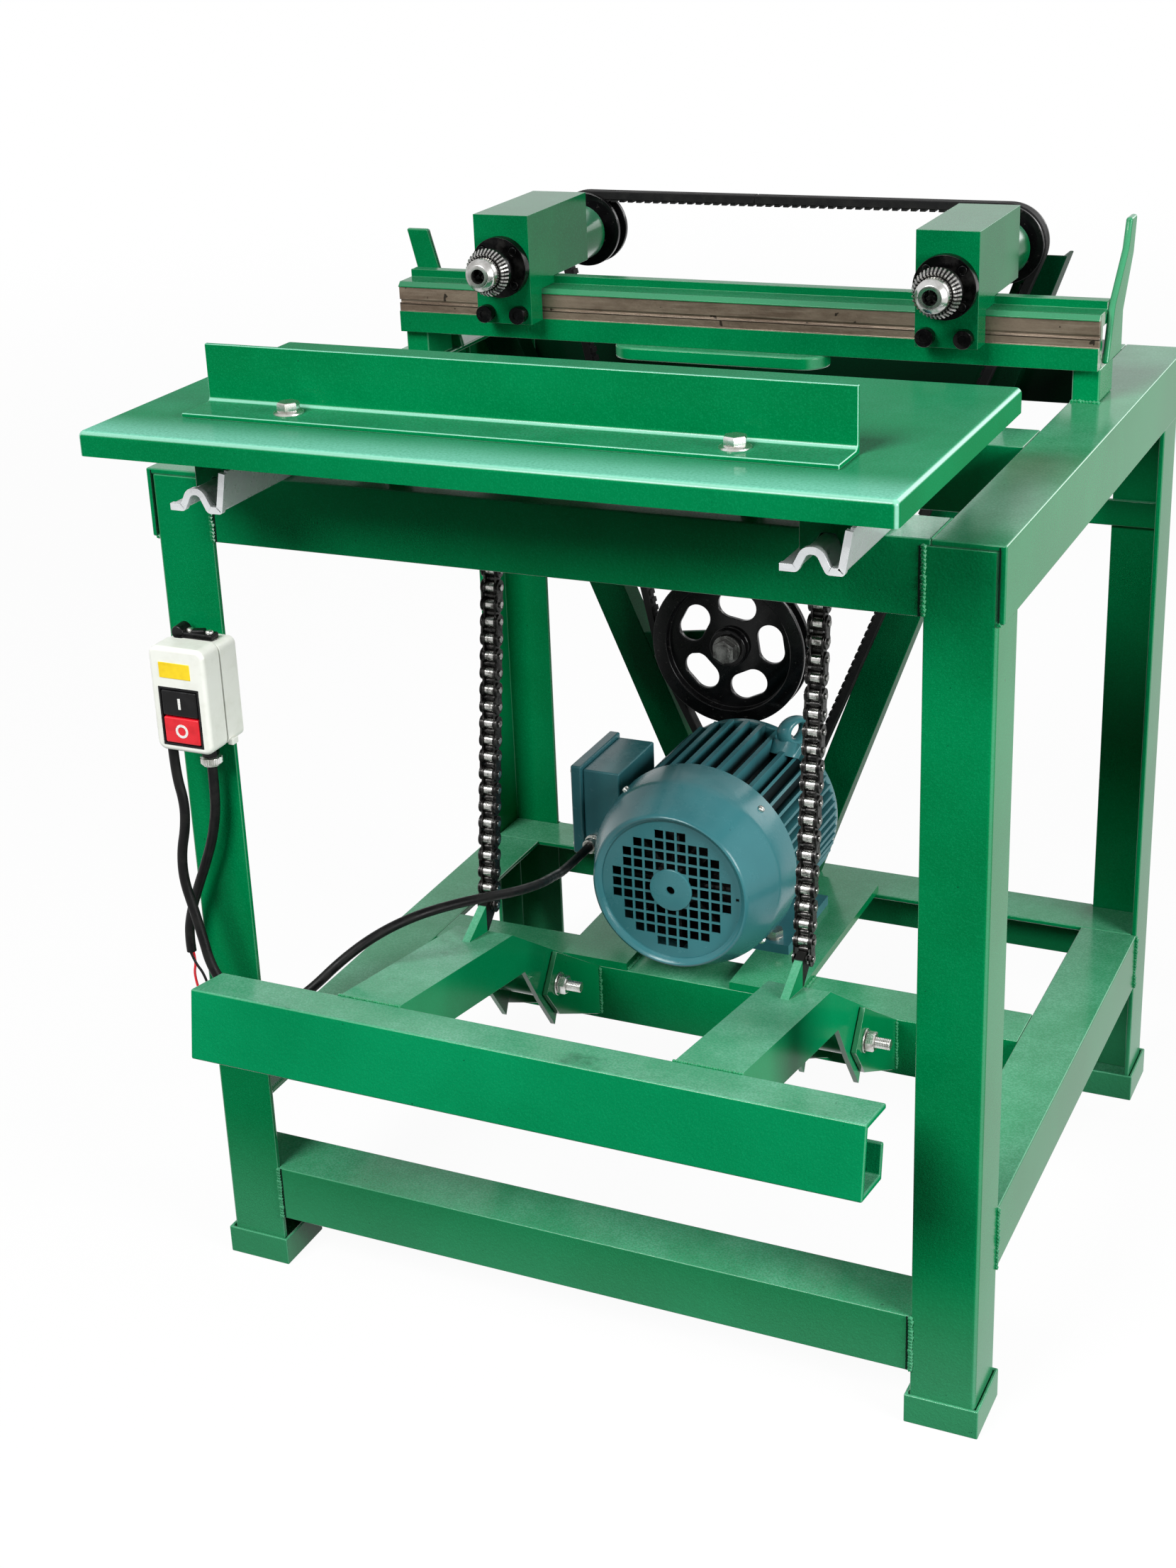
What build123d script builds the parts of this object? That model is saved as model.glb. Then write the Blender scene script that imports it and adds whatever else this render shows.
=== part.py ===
from build123d import *
from math import atan2, cos, degrees, hypot, pi, radians, sin, sqrt, tan
import os

os.makedirs("parts", exist_ok=True)

# Stand: outer size, angle iron and rail heights
stand_w = 726
stand_h = 780
angle = 56
wall = 5
rail_h = 60
low_z = 190
low_front_z = 105
low_front_h = 55
bearer_setback = 258
rear_flange = 20
tie_z = 604
tie_h = 26
tie_t = 6
foot_h = 28
foot_floor = 6
foot_wall = 3
foot_play = 1

# Feed table, fence and runners
table_w = 660
table_overhang = 137
table_reach = 181
table_rise = 70
sheet = 3
lip = 20
fence_w = 540
fence_h = 50
fence_base = 45
fence_t = 4
fence_setback = -35
fence_bolt_x = 185
runner_x = 255
runner_overhang = 95
runner_h = 17
runner_half = 24
block_w = 44
block_l = 60

# Treadle and its chains
treadle_w = 606
bar_d = 50
bar_h = 64
arm_x = 155
arm_w = 58
arm_h = 45
arm_reach = 312
arm_top = 75
plate_t = 5
pivot_setback = 235
pivot_z = 218
pivot_r = 8
rest_tilt = 9.5
pitch = 15.875
links_over = 8
chain_lean = 8
wheel_drop = 21.4
teeth = 12
roller_r = 5.05
pin_r = 2.5
tongue_t = 7.8
hanger_x = 180
hanger_t = 8
shaft_r = 10

# Head rail and boring heads
rail_len = 676
rail_setback = 400
pad_h = 30
rail_front_h = 48
rail_d = 70
rib_h = 7
head_x = 212
head_w = 56
head_front = 24
head_back = 106
head_h = 120
axis_h = 73
slide_gap = 0.3
spindle_r = 10
bearing_r = 21
bearing_w = 12
cap_r = 28
nose_reach = 75
sleeve_r = 23.5

# Belt drive and motor
drive_reach = 175
drive_room = 61
belt_w = 13
belt_t = 8
belt_gap = 0.3
drive_x = -35
spindle_groove = 28.7
motor_groove = 34
idler_groove = 76.7
idler_x = -68
idler_z = 455
flange_over = 7.3
motor_rail_h = 8
motor_rail_w = 70
motor_axis_h = 96
motor_reach = 257
rail_lead = 12
cover_l = 76
cover_lip = 3.5
cover_gap = 0.3
top_fin_w = 5
top_fin_rows = 3
frame_l = 139
bell_l = 24
frame_r = 97
core_r = 82
top_fin_pitch = 17
side_fin_pitch = 9
shaft_d = 28
foot_gauge = 140

# Switch on the left front leg
switch_inset = 39.5
switch_w = 56
switch_h = 91
switch_z = 547
switch_base_d = 24
switch_cover_d = 25
cable_r = 4.5

# Planes and points the pieces share
half_w = stand_w / 2
belt_setback = rail_setback + drive_reach
depth = belt_setback + drive_room
motor_front = belt_setback - motor_reach
mid_setback = motor_front + rail_lead
foot_lap = foot_play + foot_wall
front = (table_overhang - depth - foot_lap) / 2
back = front + depth
table_z = stand_h + table_rise
rail_y = front + rail_setback
rail_z = stand_h + pad_h
axis_z = rail_z + axis_h
belt_y = front + belt_setback
motor_z = low_z + motor_rail_h + motor_axis_h
pivot_y = front + pivot_setback


def box(x, y, z):
    """A block between two planes on each axis."""
    size = [abs(b - a) for a, b in (x, y, z)]
    middle = [(a + b) / 2 for a, b in (x, y, z)]
    return Pos(*middle) * Box(*size)


def rod_x(x, y, z, radius):
    """A round bar along X."""
    return Pos((x[0] + x[1]) / 2, y, z) * Rot(0, 90, 0) * Cylinder(radius, abs(x[1] - x[0]))


def rod_y(x, y, z, radius):
    """A round bar along Y."""
    return Pos(x, (y[0] + y[1]) / 2, z) * Rot(90, 0, 0) * Cylinder(radius, abs(y[1] - y[0]))


def rod_z(x, y, z, radius):
    """A round bar along Z."""
    return Pos(x, y, (z[0] + z[1]) / 2) * Cylinder(radius, abs(z[1] - z[0]))


def prism_x(x, points):
    """A section in the YZ plane drawn out along X."""
    face = make_face(Polyline(*[(min(x), py, pz) for py, pz in points], close=True))
    return extrude(face, abs(x[1] - x[0]), dir=(1, 0, 0))


def prism_y(y, points):
    """A section in the XZ plane drawn out along Y."""
    face = make_face(Polyline(*[(px, min(y), pz) for px, pz in points], close=True))
    return extrude(face, abs(y[1] - y[0]), dir=(0, 1, 0))


def turned(x, z, outline):
    """A body turned about an axis along Y, from points given as radius and y."""
    face = make_face(Polyline(*[(x + r, py, z) for r, py in outline], close=True))
    return revolve(face, Axis((x, 0, z), (0, 1, 0)), 360)


def hexagon(at, axis, flats, height):
    """A six-sided nut or bolt head that starts at a point and grows along an axis."""
    plane = Plane(origin=at, z_dir=axis)
    return extrude(plane * RegularPolygon(flats / sqrt(3), 6), height)


def save(name, *solids):
    """Write one named piece, or one group of like pieces."""
    shape = solids[0] if len(solids) == 1 else Compound(children=list(solids))
    export_step(shape, f"parts/{name}.step")


def mirrored(side):
    """The two places of a pair that lies left and right of the middle."""
    return [side * -1, side]


# Legs: four angle irons with their corners outward, standing in cup feet
legs = []
feet = []
leg_z = (foot_floor, stand_h - wall)
for sx in (-1, 1):
    for edge, inward in ((front, 1), (back, -1)):
        flange_x = (sx * half_w, sx * (half_w - angle))
        flange = box(flange_x, (edge, edge + inward * wall), leg_z)
        side = box((sx * half_w, sx * (half_w - wall)), (edge, edge + inward * angle), leg_z)
        legs.append(flange + side)
        foot_x = sx * (half_w - angle / 2)
        foot_y = edge + inward * angle / 2
        inner = angle / 2 + foot_play
        outer = angle / 2 + foot_lap
        cup = box((foot_x - outer, foot_x + outer), (foot_y - outer, foot_y + outer), (0, foot_h))
        hole = box((foot_x - inner, foot_x + inner), (foot_y - inner, foot_y + inner), (foot_floor, foot_h))
        feet.append(cup - hole)
save("legs", *legs)
save("feet", *feet)

# Top rails: the side rails lap the outside of the legs, the others fit between them
top_in = half_w + wall - angle
side_rails = []
for sx in (-1, 1):
    upright = box((sx * half_w, sx * (half_w + wall)), (front, back), (stand_h - rail_h, stand_h))
    flat = box((sx * top_in, sx * (half_w + wall)), (front, back), (stand_h - wall, stand_h))
    side_rails.append(upright + flat)
save("top_side_rails", *side_rails)

between = (angle - half_w, half_w - angle)
rail_span = (stand_h - rail_h, stand_h - wall)
flat_span = (stand_h - wall, stand_h)
top_front = box(between, (front, front + wall), rail_span)
top_front += box((-top_in, top_in), (front, front + angle), flat_span)

top_rear = box(between, (back - wall, back), rail_span)
top_rear += box((-top_in, top_in), (back - rear_flange, back), flat_span)

bearer_y = front + bearer_setback
bearer = box((-half_w, half_w), (bearer_y, bearer_y + wall), rail_span)
bearer += box((-top_in, top_in), (bearer_y, bearer_y + angle), flat_span)
save("runner_bearer", bearer)

# Lower rails: the side, middle and rear rails lie flush on top, the front rail lies lower
inside = (wall - half_w, half_w - wall)
low_front = box(between, (front, front + wall), (low_front_z - low_front_h, low_front_z))
low_front += box(inside, (front + wall, front + angle), (low_front_z - wall, low_front_z))
save("front_rails", top_front, low_front)

low_sides = []
for sx in (-1, 1):
    upright = box((sx * half_w, sx * (half_w - wall)), (front + angle, back - angle), (low_z - rail_h, low_z))
    flat_x = (sx * (half_w - angle), sx * (half_w - wall))
    low_sides.append(upright + box(flat_x, (front + wall, back - angle), (low_z - wall, low_z)))
save("low_side_rails", *low_sides)

low_rear = box(between, (back - wall, back), (low_z - rail_h, low_z))
low_rear += box(inside, (back - angle, back - wall), (low_z - wall, low_z))
tie = box(inside, (back - wall - tie_t, back - wall), (tie_z, tie_z + tie_h))
save("rear_rails", top_rear, tie, low_rear)

mid_y = front + mid_setback
mid_rail = box(inside, (mid_y, mid_y + wall), (low_z - rail_h, low_z - wall))
mid_rail += box(between, (mid_y, mid_y + angle), (low_z - wall, low_z))
save("mid_rail", mid_rail)

# Slide runners: folded zinc strips with a raised crest that the table's blocks ride on
crest = 5
skirt = 12
runner_profile = [
    (-runner_half, 0), (1.5 - skirt, 0), (1.5 - crest, runner_h - sheet), (crest - 1.5, runner_h - sheet),
    (skirt - 1.5, 0), (runner_half, 0), (runner_half, sheet), (skirt, sheet), (crest, runner_h),
    (-crest, runner_h), (-skirt, sheet), (-runner_half, sheet),
]
runner_y = (front - runner_overhang, bearer_y + angle)
runners = []
for rx in mirrored(runner_x):
    runners.append(prism_y(runner_y, [(rx + px, stand_h + pz) for px, pz in runner_profile]))
save("slide_runners", *runners)

# Feed table: a folded sheet tray turned upside down
table_y = (front - table_overhang, front + table_reach)
table = box((-table_w / 2, table_w / 2), table_y, (table_z - lip, table_z))
hollow_x = (sheet - table_w / 2, table_w / 2 - sheet)
table -= box(hollow_x, (table_y[0] + sheet, table_y[1] - sheet), (table_z - lip, table_z - sheet))
fence_y = front + fence_setback
bolt_y = fence_y - fence_base / 2
for bx in mirrored(fence_bolt_x):
    table -= rod_z(bx, bolt_y, (table_z - lip, table_z + lip), 5.5)
save("feed_table", table)

# Fence: an angle bolted to the table, and its two bolts
fence = box((-fence_w / 2, fence_w / 2), (fence_y - fence_base, fence_y), (table_z, table_z + fence_t))
fence += box((-fence_w / 2, fence_w / 2), (fence_y - fence_t, fence_y), (table_z, table_z + fence_h))
fence_bolts = []
for bx in mirrored(fence_bolt_x):
    fence -= rod_z(bx, bolt_y, (table_z - lip, table_z + lip), 5.5)
    seat = table_z + fence_t
    bolt = rod_z(bx, bolt_y, (table_z - sheet - 14, seat + 2), 5)
    bolt += rod_z(bx, bolt_y, (seat, seat + 2), 10)
    bolt += hexagon((bx, bolt_y, seat + 2), (0, 0, 1), 17, 7)
    bolt += hexagon((bx, bolt_y, table_z - sheet - 8), (0, 0, 1), 17, 8)
    fence_bolts.append(bolt)
save("fence", fence)
save("fence_bolts", *fence_bolts)

# Slide blocks: four grooved blocks under the table that ride on the runner crests
groove_top = runner_h + slide_gap
groove = [(-skirt - 2, 0), (-crest - 0.4, groove_top), (crest + 0.4, groove_top), (skirt + 2, 0)]
blocks = []
for rx in mirrored(runner_x):
    for block_y in (front - block_l, front + table_reach - block_l - 11):
        block_x = (rx - block_w / 2, rx + block_w / 2)
        block = box(block_x, (block_y, block_y + block_l), (stand_h + sheet + 0.5, table_z - sheet))
        block -= prism_y((block_y, block_y + block_l), [(rx + px, stand_h + pz) for px, pz in groove])
        blocks.append(block)
save("slide_blocks", *blocks)

# Treadle: drawn level about its pivot, then tipped up to its rest angle
bar_back = -arm_reach
bar_front = bar_back - bar_d
bar_low = arm_top - bar_h
bar_profile = [
    (bar_front, bar_low), (bar_back, bar_low), (bar_back, bar_low + bar_h / 2),
    (bar_back - plate_t, bar_low + bar_h / 2), (bar_back - plate_t, bar_low + plate_t),
    (bar_front + plate_t, bar_low + plate_t), (bar_front + plate_t, arm_top - plate_t),
    (bar_back, arm_top - plate_t), (bar_back, arm_top), (bar_front, arm_top),
]
at_rest = Pos(0, pivot_y, pivot_z) * Rot(-rest_tilt, 0, 0)
save("treadle_bar", at_rest * prism_x((-treadle_w / 2, treadle_w / 2), bar_profile))

tip = radians(rest_tilt)
lean = radians(chain_lean)
arm_end = -93
anchor_back = -85
pitch_r = pitch / (2 * sin(pi / teeth))
wheel_z = stand_h - wheel_drop
run_top = wheel_z - pitch_r * sin(lean)
lowest = pivot_z - anchor_back * sin(tip) + (arm_top + 12) * cos(tip)
links_up = int((run_top - lowest) / (pitch * cos(lean)))
anchor_z = run_top - links_up * pitch * cos(lean)
anchor_up = (anchor_z - pivot_z + anchor_back * sin(tip)) / cos(tip)
anchor_y = pivot_y + anchor_back * cos(tip) + anchor_up * sin(tip)
cheek = [
    (bar_back, arm_top), (arm_end, arm_top), (34, 18), (18, -12), (8, -46), (-30, -8), (-64, arm_top - arm_h),
    (bar_back, arm_top - arm_h),
]
arms = []
for ax in mirrored(arm_x):
    left = ax - arm_w / 2
    right = ax + arm_w / 2
    arm = box((left, right), (bar_back, arm_end), (arm_top - plate_t, arm_top))
    arm += prism_x((left, left + plate_t), cheek)
    arm += prism_x((right - plate_t, right), cheek)
    arm += rod_x((left, right), 0, 0, 2 * pivot_r)
    tongue = [
        (arm_end - 40, arm_top - 1), (arm_end, arm_top - 1), (anchor_back + 7, anchor_up - 7),
        (anchor_back + 7, anchor_up + 7), (anchor_back - 7, anchor_up + 7),
    ]
    arm += prism_x((ax - tongue_t / 2, ax + tongue_t / 2), tongue)
    arm -= rod_x((left - 1, right + 1), 0, 0, pivot_r + 0.1)
    arm -= rod_x((left, right), anchor_back, anchor_up, pin_r + 0.3)
    arms.append(at_rest * arm)
save("treadle_arms", *arms)

# Treadle lugs on the middle rail, with a pivot bolt through each pair
lug_y = mid_y - pivot_y
lug_top = low_z - pivot_z
lug = [(lug_y, lug_top), (lug_y, lug_top - rail_h + wall), (0, -34), (-26, 0), (0, 34)]
lugs = []
pivot_bolts = []
for ax in mirrored(arm_x):
    for side in (-1, 1):
        inner_x = ax + side * (arm_w / 2 + 1)
        outer_x = inner_x + side * plate_t
        plate = prism_x((inner_x, outer_x), [(pivot_y + py, pivot_z + pz) for py, pz in lug])
        lugs.append(plate - rod_x((inner_x - 9, inner_x + 9), pivot_y, pivot_z, pivot_r + 0.05))
    reach = arm_w / 2 + 1 + plate_t
    bolt = rod_x((ax - reach, ax + reach + 30), pivot_y, pivot_z, pivot_r)
    bolt += hexagon((ax - reach, pivot_y, pivot_z), (-1, 0, 0), 24, 10)
    bolt += hexagon((ax + reach, pivot_y, pivot_z), (1, 0, 0), 24, 15)
    pivot_bolts.append(bolt)
save("treadle_lugs", *lugs)


# Roller chain: inner links carry the rollers, outer links carry the pins
def link_plates(inner_x, outer_x, bore):
    """Two waisted side plates between two pin centres along Z."""
    pair = []
    for side in (-1, 1):
        x = (side * inner_x, side * outer_x)
        bar = box(x, (-5, 5), (0, pitch)) + rod_x(x, 0, 0, 7) + rod_x(x, 0, pitch, 7)
        pair.append(bar - rod_x(x, 0, 0, bore) - rod_x(x, 0, pitch, bore) if bore else bar)
    return pair


inner_plates = link_plates(4.7, 6.5, pin_r + 0.3)
inner_link = inner_plates[0] + inner_plates[1]
outer_plates = link_plates(6.8, 8.6, 0)
outer_link = outer_plates[0] + outer_plates[1]
for pin_z in (0, pitch):
    bush = rod_x((-4.7, 4.7), 0, pin_z, roller_r) - rod_x((-5, 5), 0, pin_z, pin_r + 0.3)
    inner_link += bush
    outer_link += rod_x((-9.8, 9.8), 0, pin_z, pin_r)


def chain(x, pins, first):
    """Links between successive pins, outer and inner in turn."""
    run = []
    for i in range(len(pins) - 1):
        rise = (pins[i + 1][0] - pins[i][0], pins[i + 1][1] - pins[i][1])
        turn = degrees(atan2(-rise[0], rise[1]))
        link = outer_link if (first + i) % 2 == 0 else inner_link
        run.append(Pos(x, pins[i][0], pins[i][1]) * Rot(turn, 0, 0) * link)
    return run


rising = []
for i in range(links_up + 1):
    rising.append((anchor_y + i * pitch * sin(lean), anchor_z + i * pitch * cos(lean)))
wheel_y = rising[-1][0] - pitch_r * cos(lean)
over = []
for i in range(teeth // 4 + 1):
    turn = 2 * pi * i / teeth - lean
    over.append((wheel_y + pitch_r * cos(turn), wheel_z + pitch_r * sin(turn)))
leave_y, leave_z = over[-1]
level_links = links_over + (links_up + links_over) % 2
over += [(leave_y - i * pitch, leave_z) for i in range(1, level_links + 1)]
save("chain_left", *chain(-arm_x, rising, 0))
save("chain_right", *chain(arm_x, rising, 0))
save("chain_tops", *chain(-arm_x, over, links_up), *chain(arm_x, over, links_up))

# Chain brackets under the table hold the chains' forward ends
hook_y, hook_z = over[-1]
brackets = []
for ax in mirrored(arm_x):
    tongue = box((ax - tongue_t / 2, ax + tongue_t / 2), (hook_y - 7, hook_y + 7), (hook_z - 7, table_z - sheet))
    tongue -= rod_x((ax - 9, ax + 9), hook_y, hook_z, pin_r + 0.3)
    pad = box((ax - 22, ax + 22), (hook_y - 22, hook_y + 22), (table_z - sheet - 5, table_z - sheet))
    brackets.append(tongue + pad)
save("chain_brackets", *brackets)

# Sprockets on one shaft, in two hangers on the face of the runner bearer
sprockets = []
for ax in mirrored(arm_x):
    wheel = rod_x((ax - 4.2, ax + 4.2), wheel_y, wheel_z, pitch_r + 3.5)
    for i in range(teeth):
        turn = 2 * pi * i / teeth - lean
        for along in (-pitch, 0, pitch):
            seat_y = wheel_y + pitch_r * cos(turn) - along * sin(turn)
            seat_z = wheel_z + pitch_r * sin(turn) + along * cos(turn)
            wheel -= rod_x((ax - 5, ax + 5), seat_y, seat_z, roller_r + 0.3)
    wheel += rod_x((ax - 12, ax + 12), wheel_y, wheel_z, 17)
    sprockets.append(wheel - rod_x((ax - 13, ax + 13), wheel_y, wheel_z, shaft_r))
shaft = rod_x((-hanger_x - 14, hanger_x + 14), wheel_y, wheel_z, shaft_r)
save("sprocket_shaft", shaft, *sprockets)

hangers = []
for hx in mirrored(hanger_x):
    hanger_span = (hx - hanger_t / 2, hx + hanger_t / 2)
    web = [
        (bearer_y, stand_h - rail_h + 4), (bearer_y, stand_h - wall), (wheel_y, stand_h - wall),
        (wheel_y, wheel_z - wheel_drop + wall),
    ]
    hanger = prism_x(hanger_span, web) + rod_x(hanger_span, wheel_y, wheel_z, wheel_drop - wall)
    hangers.append(hanger - rod_x(hanger_span, wheel_y, wheel_z, shaft_r + 0.1))
save("sprocket_hangers", *hangers)

# Head rail: a cast channel with a machined band along its face and a rib on top
band = (20, 43)
rib = (28, 40)
rail_profile = [
    (0, 0), (rail_d, 0), (rail_d, 12), (14, 12), (14, rail_front_h - 12), (rail_d, rail_front_h - 12),
    (rail_d, rail_front_h), (rib[1], rail_front_h), (rib[1], rail_front_h + rib_h),
    (rib[0], rail_front_h + rib_h), (rib[0], rail_front_h), (4, rail_front_h), (0, rail_front_h - 4),
]
rail_x = (-rail_len / 2, rail_len / 2)
head_rail = prism_x(rail_x, [(rail_y + py, rail_z + pz) for py, pz in rail_profile])
head_rail -= box(rail_x, (rail_y, rail_y + 1.5), (rail_z + band[0], rail_z + band[1]))
head_rail -= box(rail_x, (rail_y, rail_y + 4), (rail_z + 28, rail_z + 31))
save("head_rail", head_rail)

pads = []
for px in mirrored(rail_len / 2 - 12):
    pads.append(box((px - 12, px + 12), (rail_y + 10, rail_y + 60), (stand_h, rail_z)))

strap_y = (rail_y - 12, rail_y + 34)
strap = box((-90, 72), strap_y, (rail_z - 12, rail_z))
for sx in (-90, 72):
    strap += rod_z(sx, (strap_y[0] + strap_y[1]) / 2, (rail_z - 12, rail_z), 23)
horn = [(12, 4), (64, 4), (64, 40), (96, 84), (104, 116), (84, 116), (74, 92), (30, 52)]
horn_x = (rail_len / 2, rail_len / 2 + 6)
right_horn = prism_x(horn_x, [(rail_y + py, rail_z + pz) for py, pz in horn])
stem = [(-335, 0), (-308, 0), (-340, 116), (-364, 116)]
left_horn = prism_y((rail_y + rail_d, rail_y + rail_d + 6), [(px, stand_h + pz) for px, pz in stem])
save("rail_fittings", *pads, strap, right_horn, left_horn)

# Boring heads: each casting laps the rail's face and top and carries a bored spindle
boss_r = bearing_r + 6
boss_back = belt_setback - rail_setback - 25
nose_y = rail_y - nose_reach
chuck_back = rail_y - head_front - 14
for side, name in ((-1, "left"), (1, "right")):
    hx = side * head_x
    head_profile = [
        (-head_front, band[0] - 1), (-slide_gap, band[0] - 1), (-slide_gap, rail_front_h + slide_gap),
        (rib[0] - slide_gap, rail_front_h + slide_gap), (rib[0] - slide_gap, rail_front_h + rib_h + slide_gap),
        (head_back, rail_front_h + rib_h + slide_gap), (head_back, head_h), (-head_front, head_h),
    ]
    head = prism_x((hx - head_w / 2, hx + head_w / 2), [(rail_y + py, rail_z + pz) for py, pz in head_profile])
    head += rod_y(hx, (rail_y + head_back, rail_y + boss_back), axis_z, boss_r)
    head -= rod_y(hx, (rail_y - head_front, rail_y + boss_back), axis_z, spindle_r + 2)
    head -= rod_y(hx, (rail_y - head_front, rail_y - head_front + bearing_w), axis_z, bearing_r)
    head -= rod_y(hx, (rail_y + boss_back - bearing_w, rail_y + boss_back), axis_z, bearing_r)
    screws = []
    for screw_x in (hx - 17, hx + 17):
        screw_z = rail_z + band[0] + 9
        head -= rod_y(screw_x, (rail_y - head_front, rail_y), screw_z, 5.1)
        screw = rod_y(screw_x, (rail_y - head_front, rail_y - slide_gap), screw_z, 5)
        screws.append(screw + rod_y(screw_x, (rail_y - head_front - 9, rail_y - head_front), screw_z, 8))
    cap = rod_y(hx, (rail_y - head_front - 9, rail_y - head_front), axis_z, cap_r)
    cap -= rod_y(hx, (rail_y - head_front - 9, rail_y - head_front), axis_z, spindle_r + 1)
    for i in range(4):
        turn = pi / 4 + pi / 2 * i
        screw_x = hx + 22.5 * cos(turn)
        screw_z = axis_z + 22.5 * sin(turn)
        cap_face = rail_y - head_front - 9
        cap -= rod_y(screw_x, (cap_face, cap_face + 4), screw_z, 4.2)
        screws.append(rod_y(screw_x, (cap_face - 1, cap_face + 4), screw_z, 4))
    save(f"head_{name}", head)
    save(f"cap_{name}", cap)

    bearings = []
    for bearing_y in (rail_y - head_front, rail_y + boss_back - bearing_w):
        ring = rod_y(hx, (bearing_y, bearing_y + bearing_w), axis_z, bearing_r)
        bearings.append(ring - rod_y(hx, (bearing_y, bearing_y + bearing_w), axis_z, spindle_r + 0.06))
    save(f"hardware_{name}", *screws, *bearings)

    spindle = rod_y(hx, (chuck_back, belt_y + 17), axis_z, spindle_r)
    spindle += rod_y(hx, (chuck_back - 14, chuck_back), axis_z, 6)
    save(f"spindle_{name}", spindle)

    chuck = turned(hx, axis_z, [
        (7.5, nose_y), (13, nose_y), (15, nose_y + 4), (15.5, nose_y + 12), (15.5, chuck_back - 4),
        (14, chuck_back), (6, chuck_back), (6, chuck_back - 14), (7.5, chuck_back - 14),
    ])
    save(f"chuck_{name}", chuck)

    sleeve = turned(hx, axis_z, [
        (15.6, nose_y + 20), (sleeve_r, nose_y + 20), (sleeve_r, nose_y + 27), (sleeve_r - 2, nose_y + 33),
        (15.6, nose_y + 33),
    ])
    tooth_profile = []
    for i in range(24):
        root = sleeve_r - 4.5
        crown_r = sleeve_r - 1
        for r, shift in ((root, -0.3), (crown_r, -0.18), (crown_r, 0.18), (root, 0.3)):
            turn = 2 * pi * (i + shift) / 24
            tooth_profile.append((hx + r * cos(turn), axis_z + r * sin(turn)))
    crown = prism_y((nose_y + 13, nose_y + 20), tooth_profile)
    sleeve += crown - rod_y(hx, (nose_y + 13, nose_y + 20), axis_z, 15.6)
    save(f"sleeve_{name}", sleeve)


# Belt drive: motor pulley, two spindle pulleys and the idler that spreads the belt's left run
def pulley(x, z, groove_r, rim_w, bore):
    """A grooved belt wheel."""
    rim = groove_r + flange_over
    half = belt_w / 2 + belt_gap
    return turned(x, z, [
        (bore, belt_y - rim_w / 2), (rim, belt_y - rim_w / 2), (rim, belt_y - half), (groove_r, belt_y - half),
        (groove_r, belt_y + half), (rim, belt_y + half), (rim, belt_y + rim_w / 2), (bore, belt_y + rim_w / 2),
    ])


save("pulley_left", pulley(-head_x, axis_z, spindle_groove, 24, spindle_r))
save("pulley_right", pulley(head_x, axis_z, spindle_groove, 24, spindle_r))
save("motor_pulley", pulley(drive_x, motor_z, motor_groove, 24, shaft_d / 2))

rim_w = 24
idler = pulley(idler_x, idler_z, idler_groove, rim_w, idler_groove - 8)
idler += rod_y(idler_x, (belt_y - 3, belt_y + 3), idler_z, idler_groove - 7)
idler += rod_y(idler_x, (belt_y - rim_w / 2, belt_y + rim_w / 2), idler_z, 20)
window = Box(28, 8, 14)
for end in (-7, 7):
    window += Pos(0, 0, end) * Rot(90, 0, 0) * Cylinder(14, 8)
for i in range(5):
    turn = 72 * i - 8
    idler -= Pos(idler_x, belt_y, idler_z) * Rot(0, turn, 0) * Pos(45, 0, 0) * window
idler -= rod_y(idler_x, (belt_y - rim_w, belt_y + rim_w), idler_z, 8.1)
save("idler_pulley", idler)


def loop(wheels, offset):
    """A closed belt line round the outside of wheels given as x, z and radius."""
    count = len(wheels)
    normals = []
    for i in range(count):
        ax, az, ar = wheels[i]
        bx, bz, br = wheels[(i + 1) % count]
        run = hypot(bx - ax, bz - az)
        ux = (bx - ax) / run
        uz = (bz - az) / run
        lean = (ar - br) / run
        square = sqrt(1 - lean * lean)
        normals.append((ux * lean + uz * square, uz * lean - ux * square))
    edges = []
    for i in range(count):
        x, z, r = wheels[i]
        entry = normals[i - 1]
        leave = normals[i]
        reach = r + offset
        sweep = atan2(entry[0] * leave[1] - entry[1] * leave[0], entry[0] * leave[0] + entry[1] * leave[1])
        if sweep < 0:
            sweep += 2 * pi
        half = atan2(entry[1], entry[0]) + sweep / 2
        start = (x + reach * entry[0], 0, z + reach * entry[1])
        middle = (x + reach * cos(half), 0, z + reach * sin(half))
        end = (x + reach * leave[0], 0, z + reach * leave[1])
        edges.append(ThreePointArc(start, middle, end))
        bx, bz, br = wheels[(i + 1) % count]
        far = br + offset
        edges.append(Line(end, (bx + far * leave[0], 0, bz + far * leave[1])))
    return make_face(edges)


mean = belt_gap + belt_t / 2
wheels = [
    (drive_x, motor_z, motor_groove + mean),
    (head_x, axis_z, spindle_groove + mean),
    (-head_x, axis_z, spindle_groove + mean),
    (idler_x, idler_z, idler_groove + mean),
]
band_face = loop(wheels, belt_t / 2) - loop(wheels, -belt_t / 2)
belt = Pos(0, belt_y - belt_w / 2, 0) * extrude(band_face, belt_w, dir=(0, 1, 0))
belt_x = 2 * head_x
save("belt_left", belt & box((-belt_x, drive_x), (front, back), (0, 2 * stand_h)))
save("belt_right", belt & box((drive_x, belt_x), (front, back), (0, 2 * stand_h)))

# Braces: two slanted angle irons behind the belt, and the idler's bracket between them
brace_y = belt_y + belt_w
brace_top = stand_h + 90
brace_w = 40
brace_d = back - rear_flange - brace_y
lean_left = -0.43
lean_right = 0.363
foot_left = -100
foot_right = -23


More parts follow.
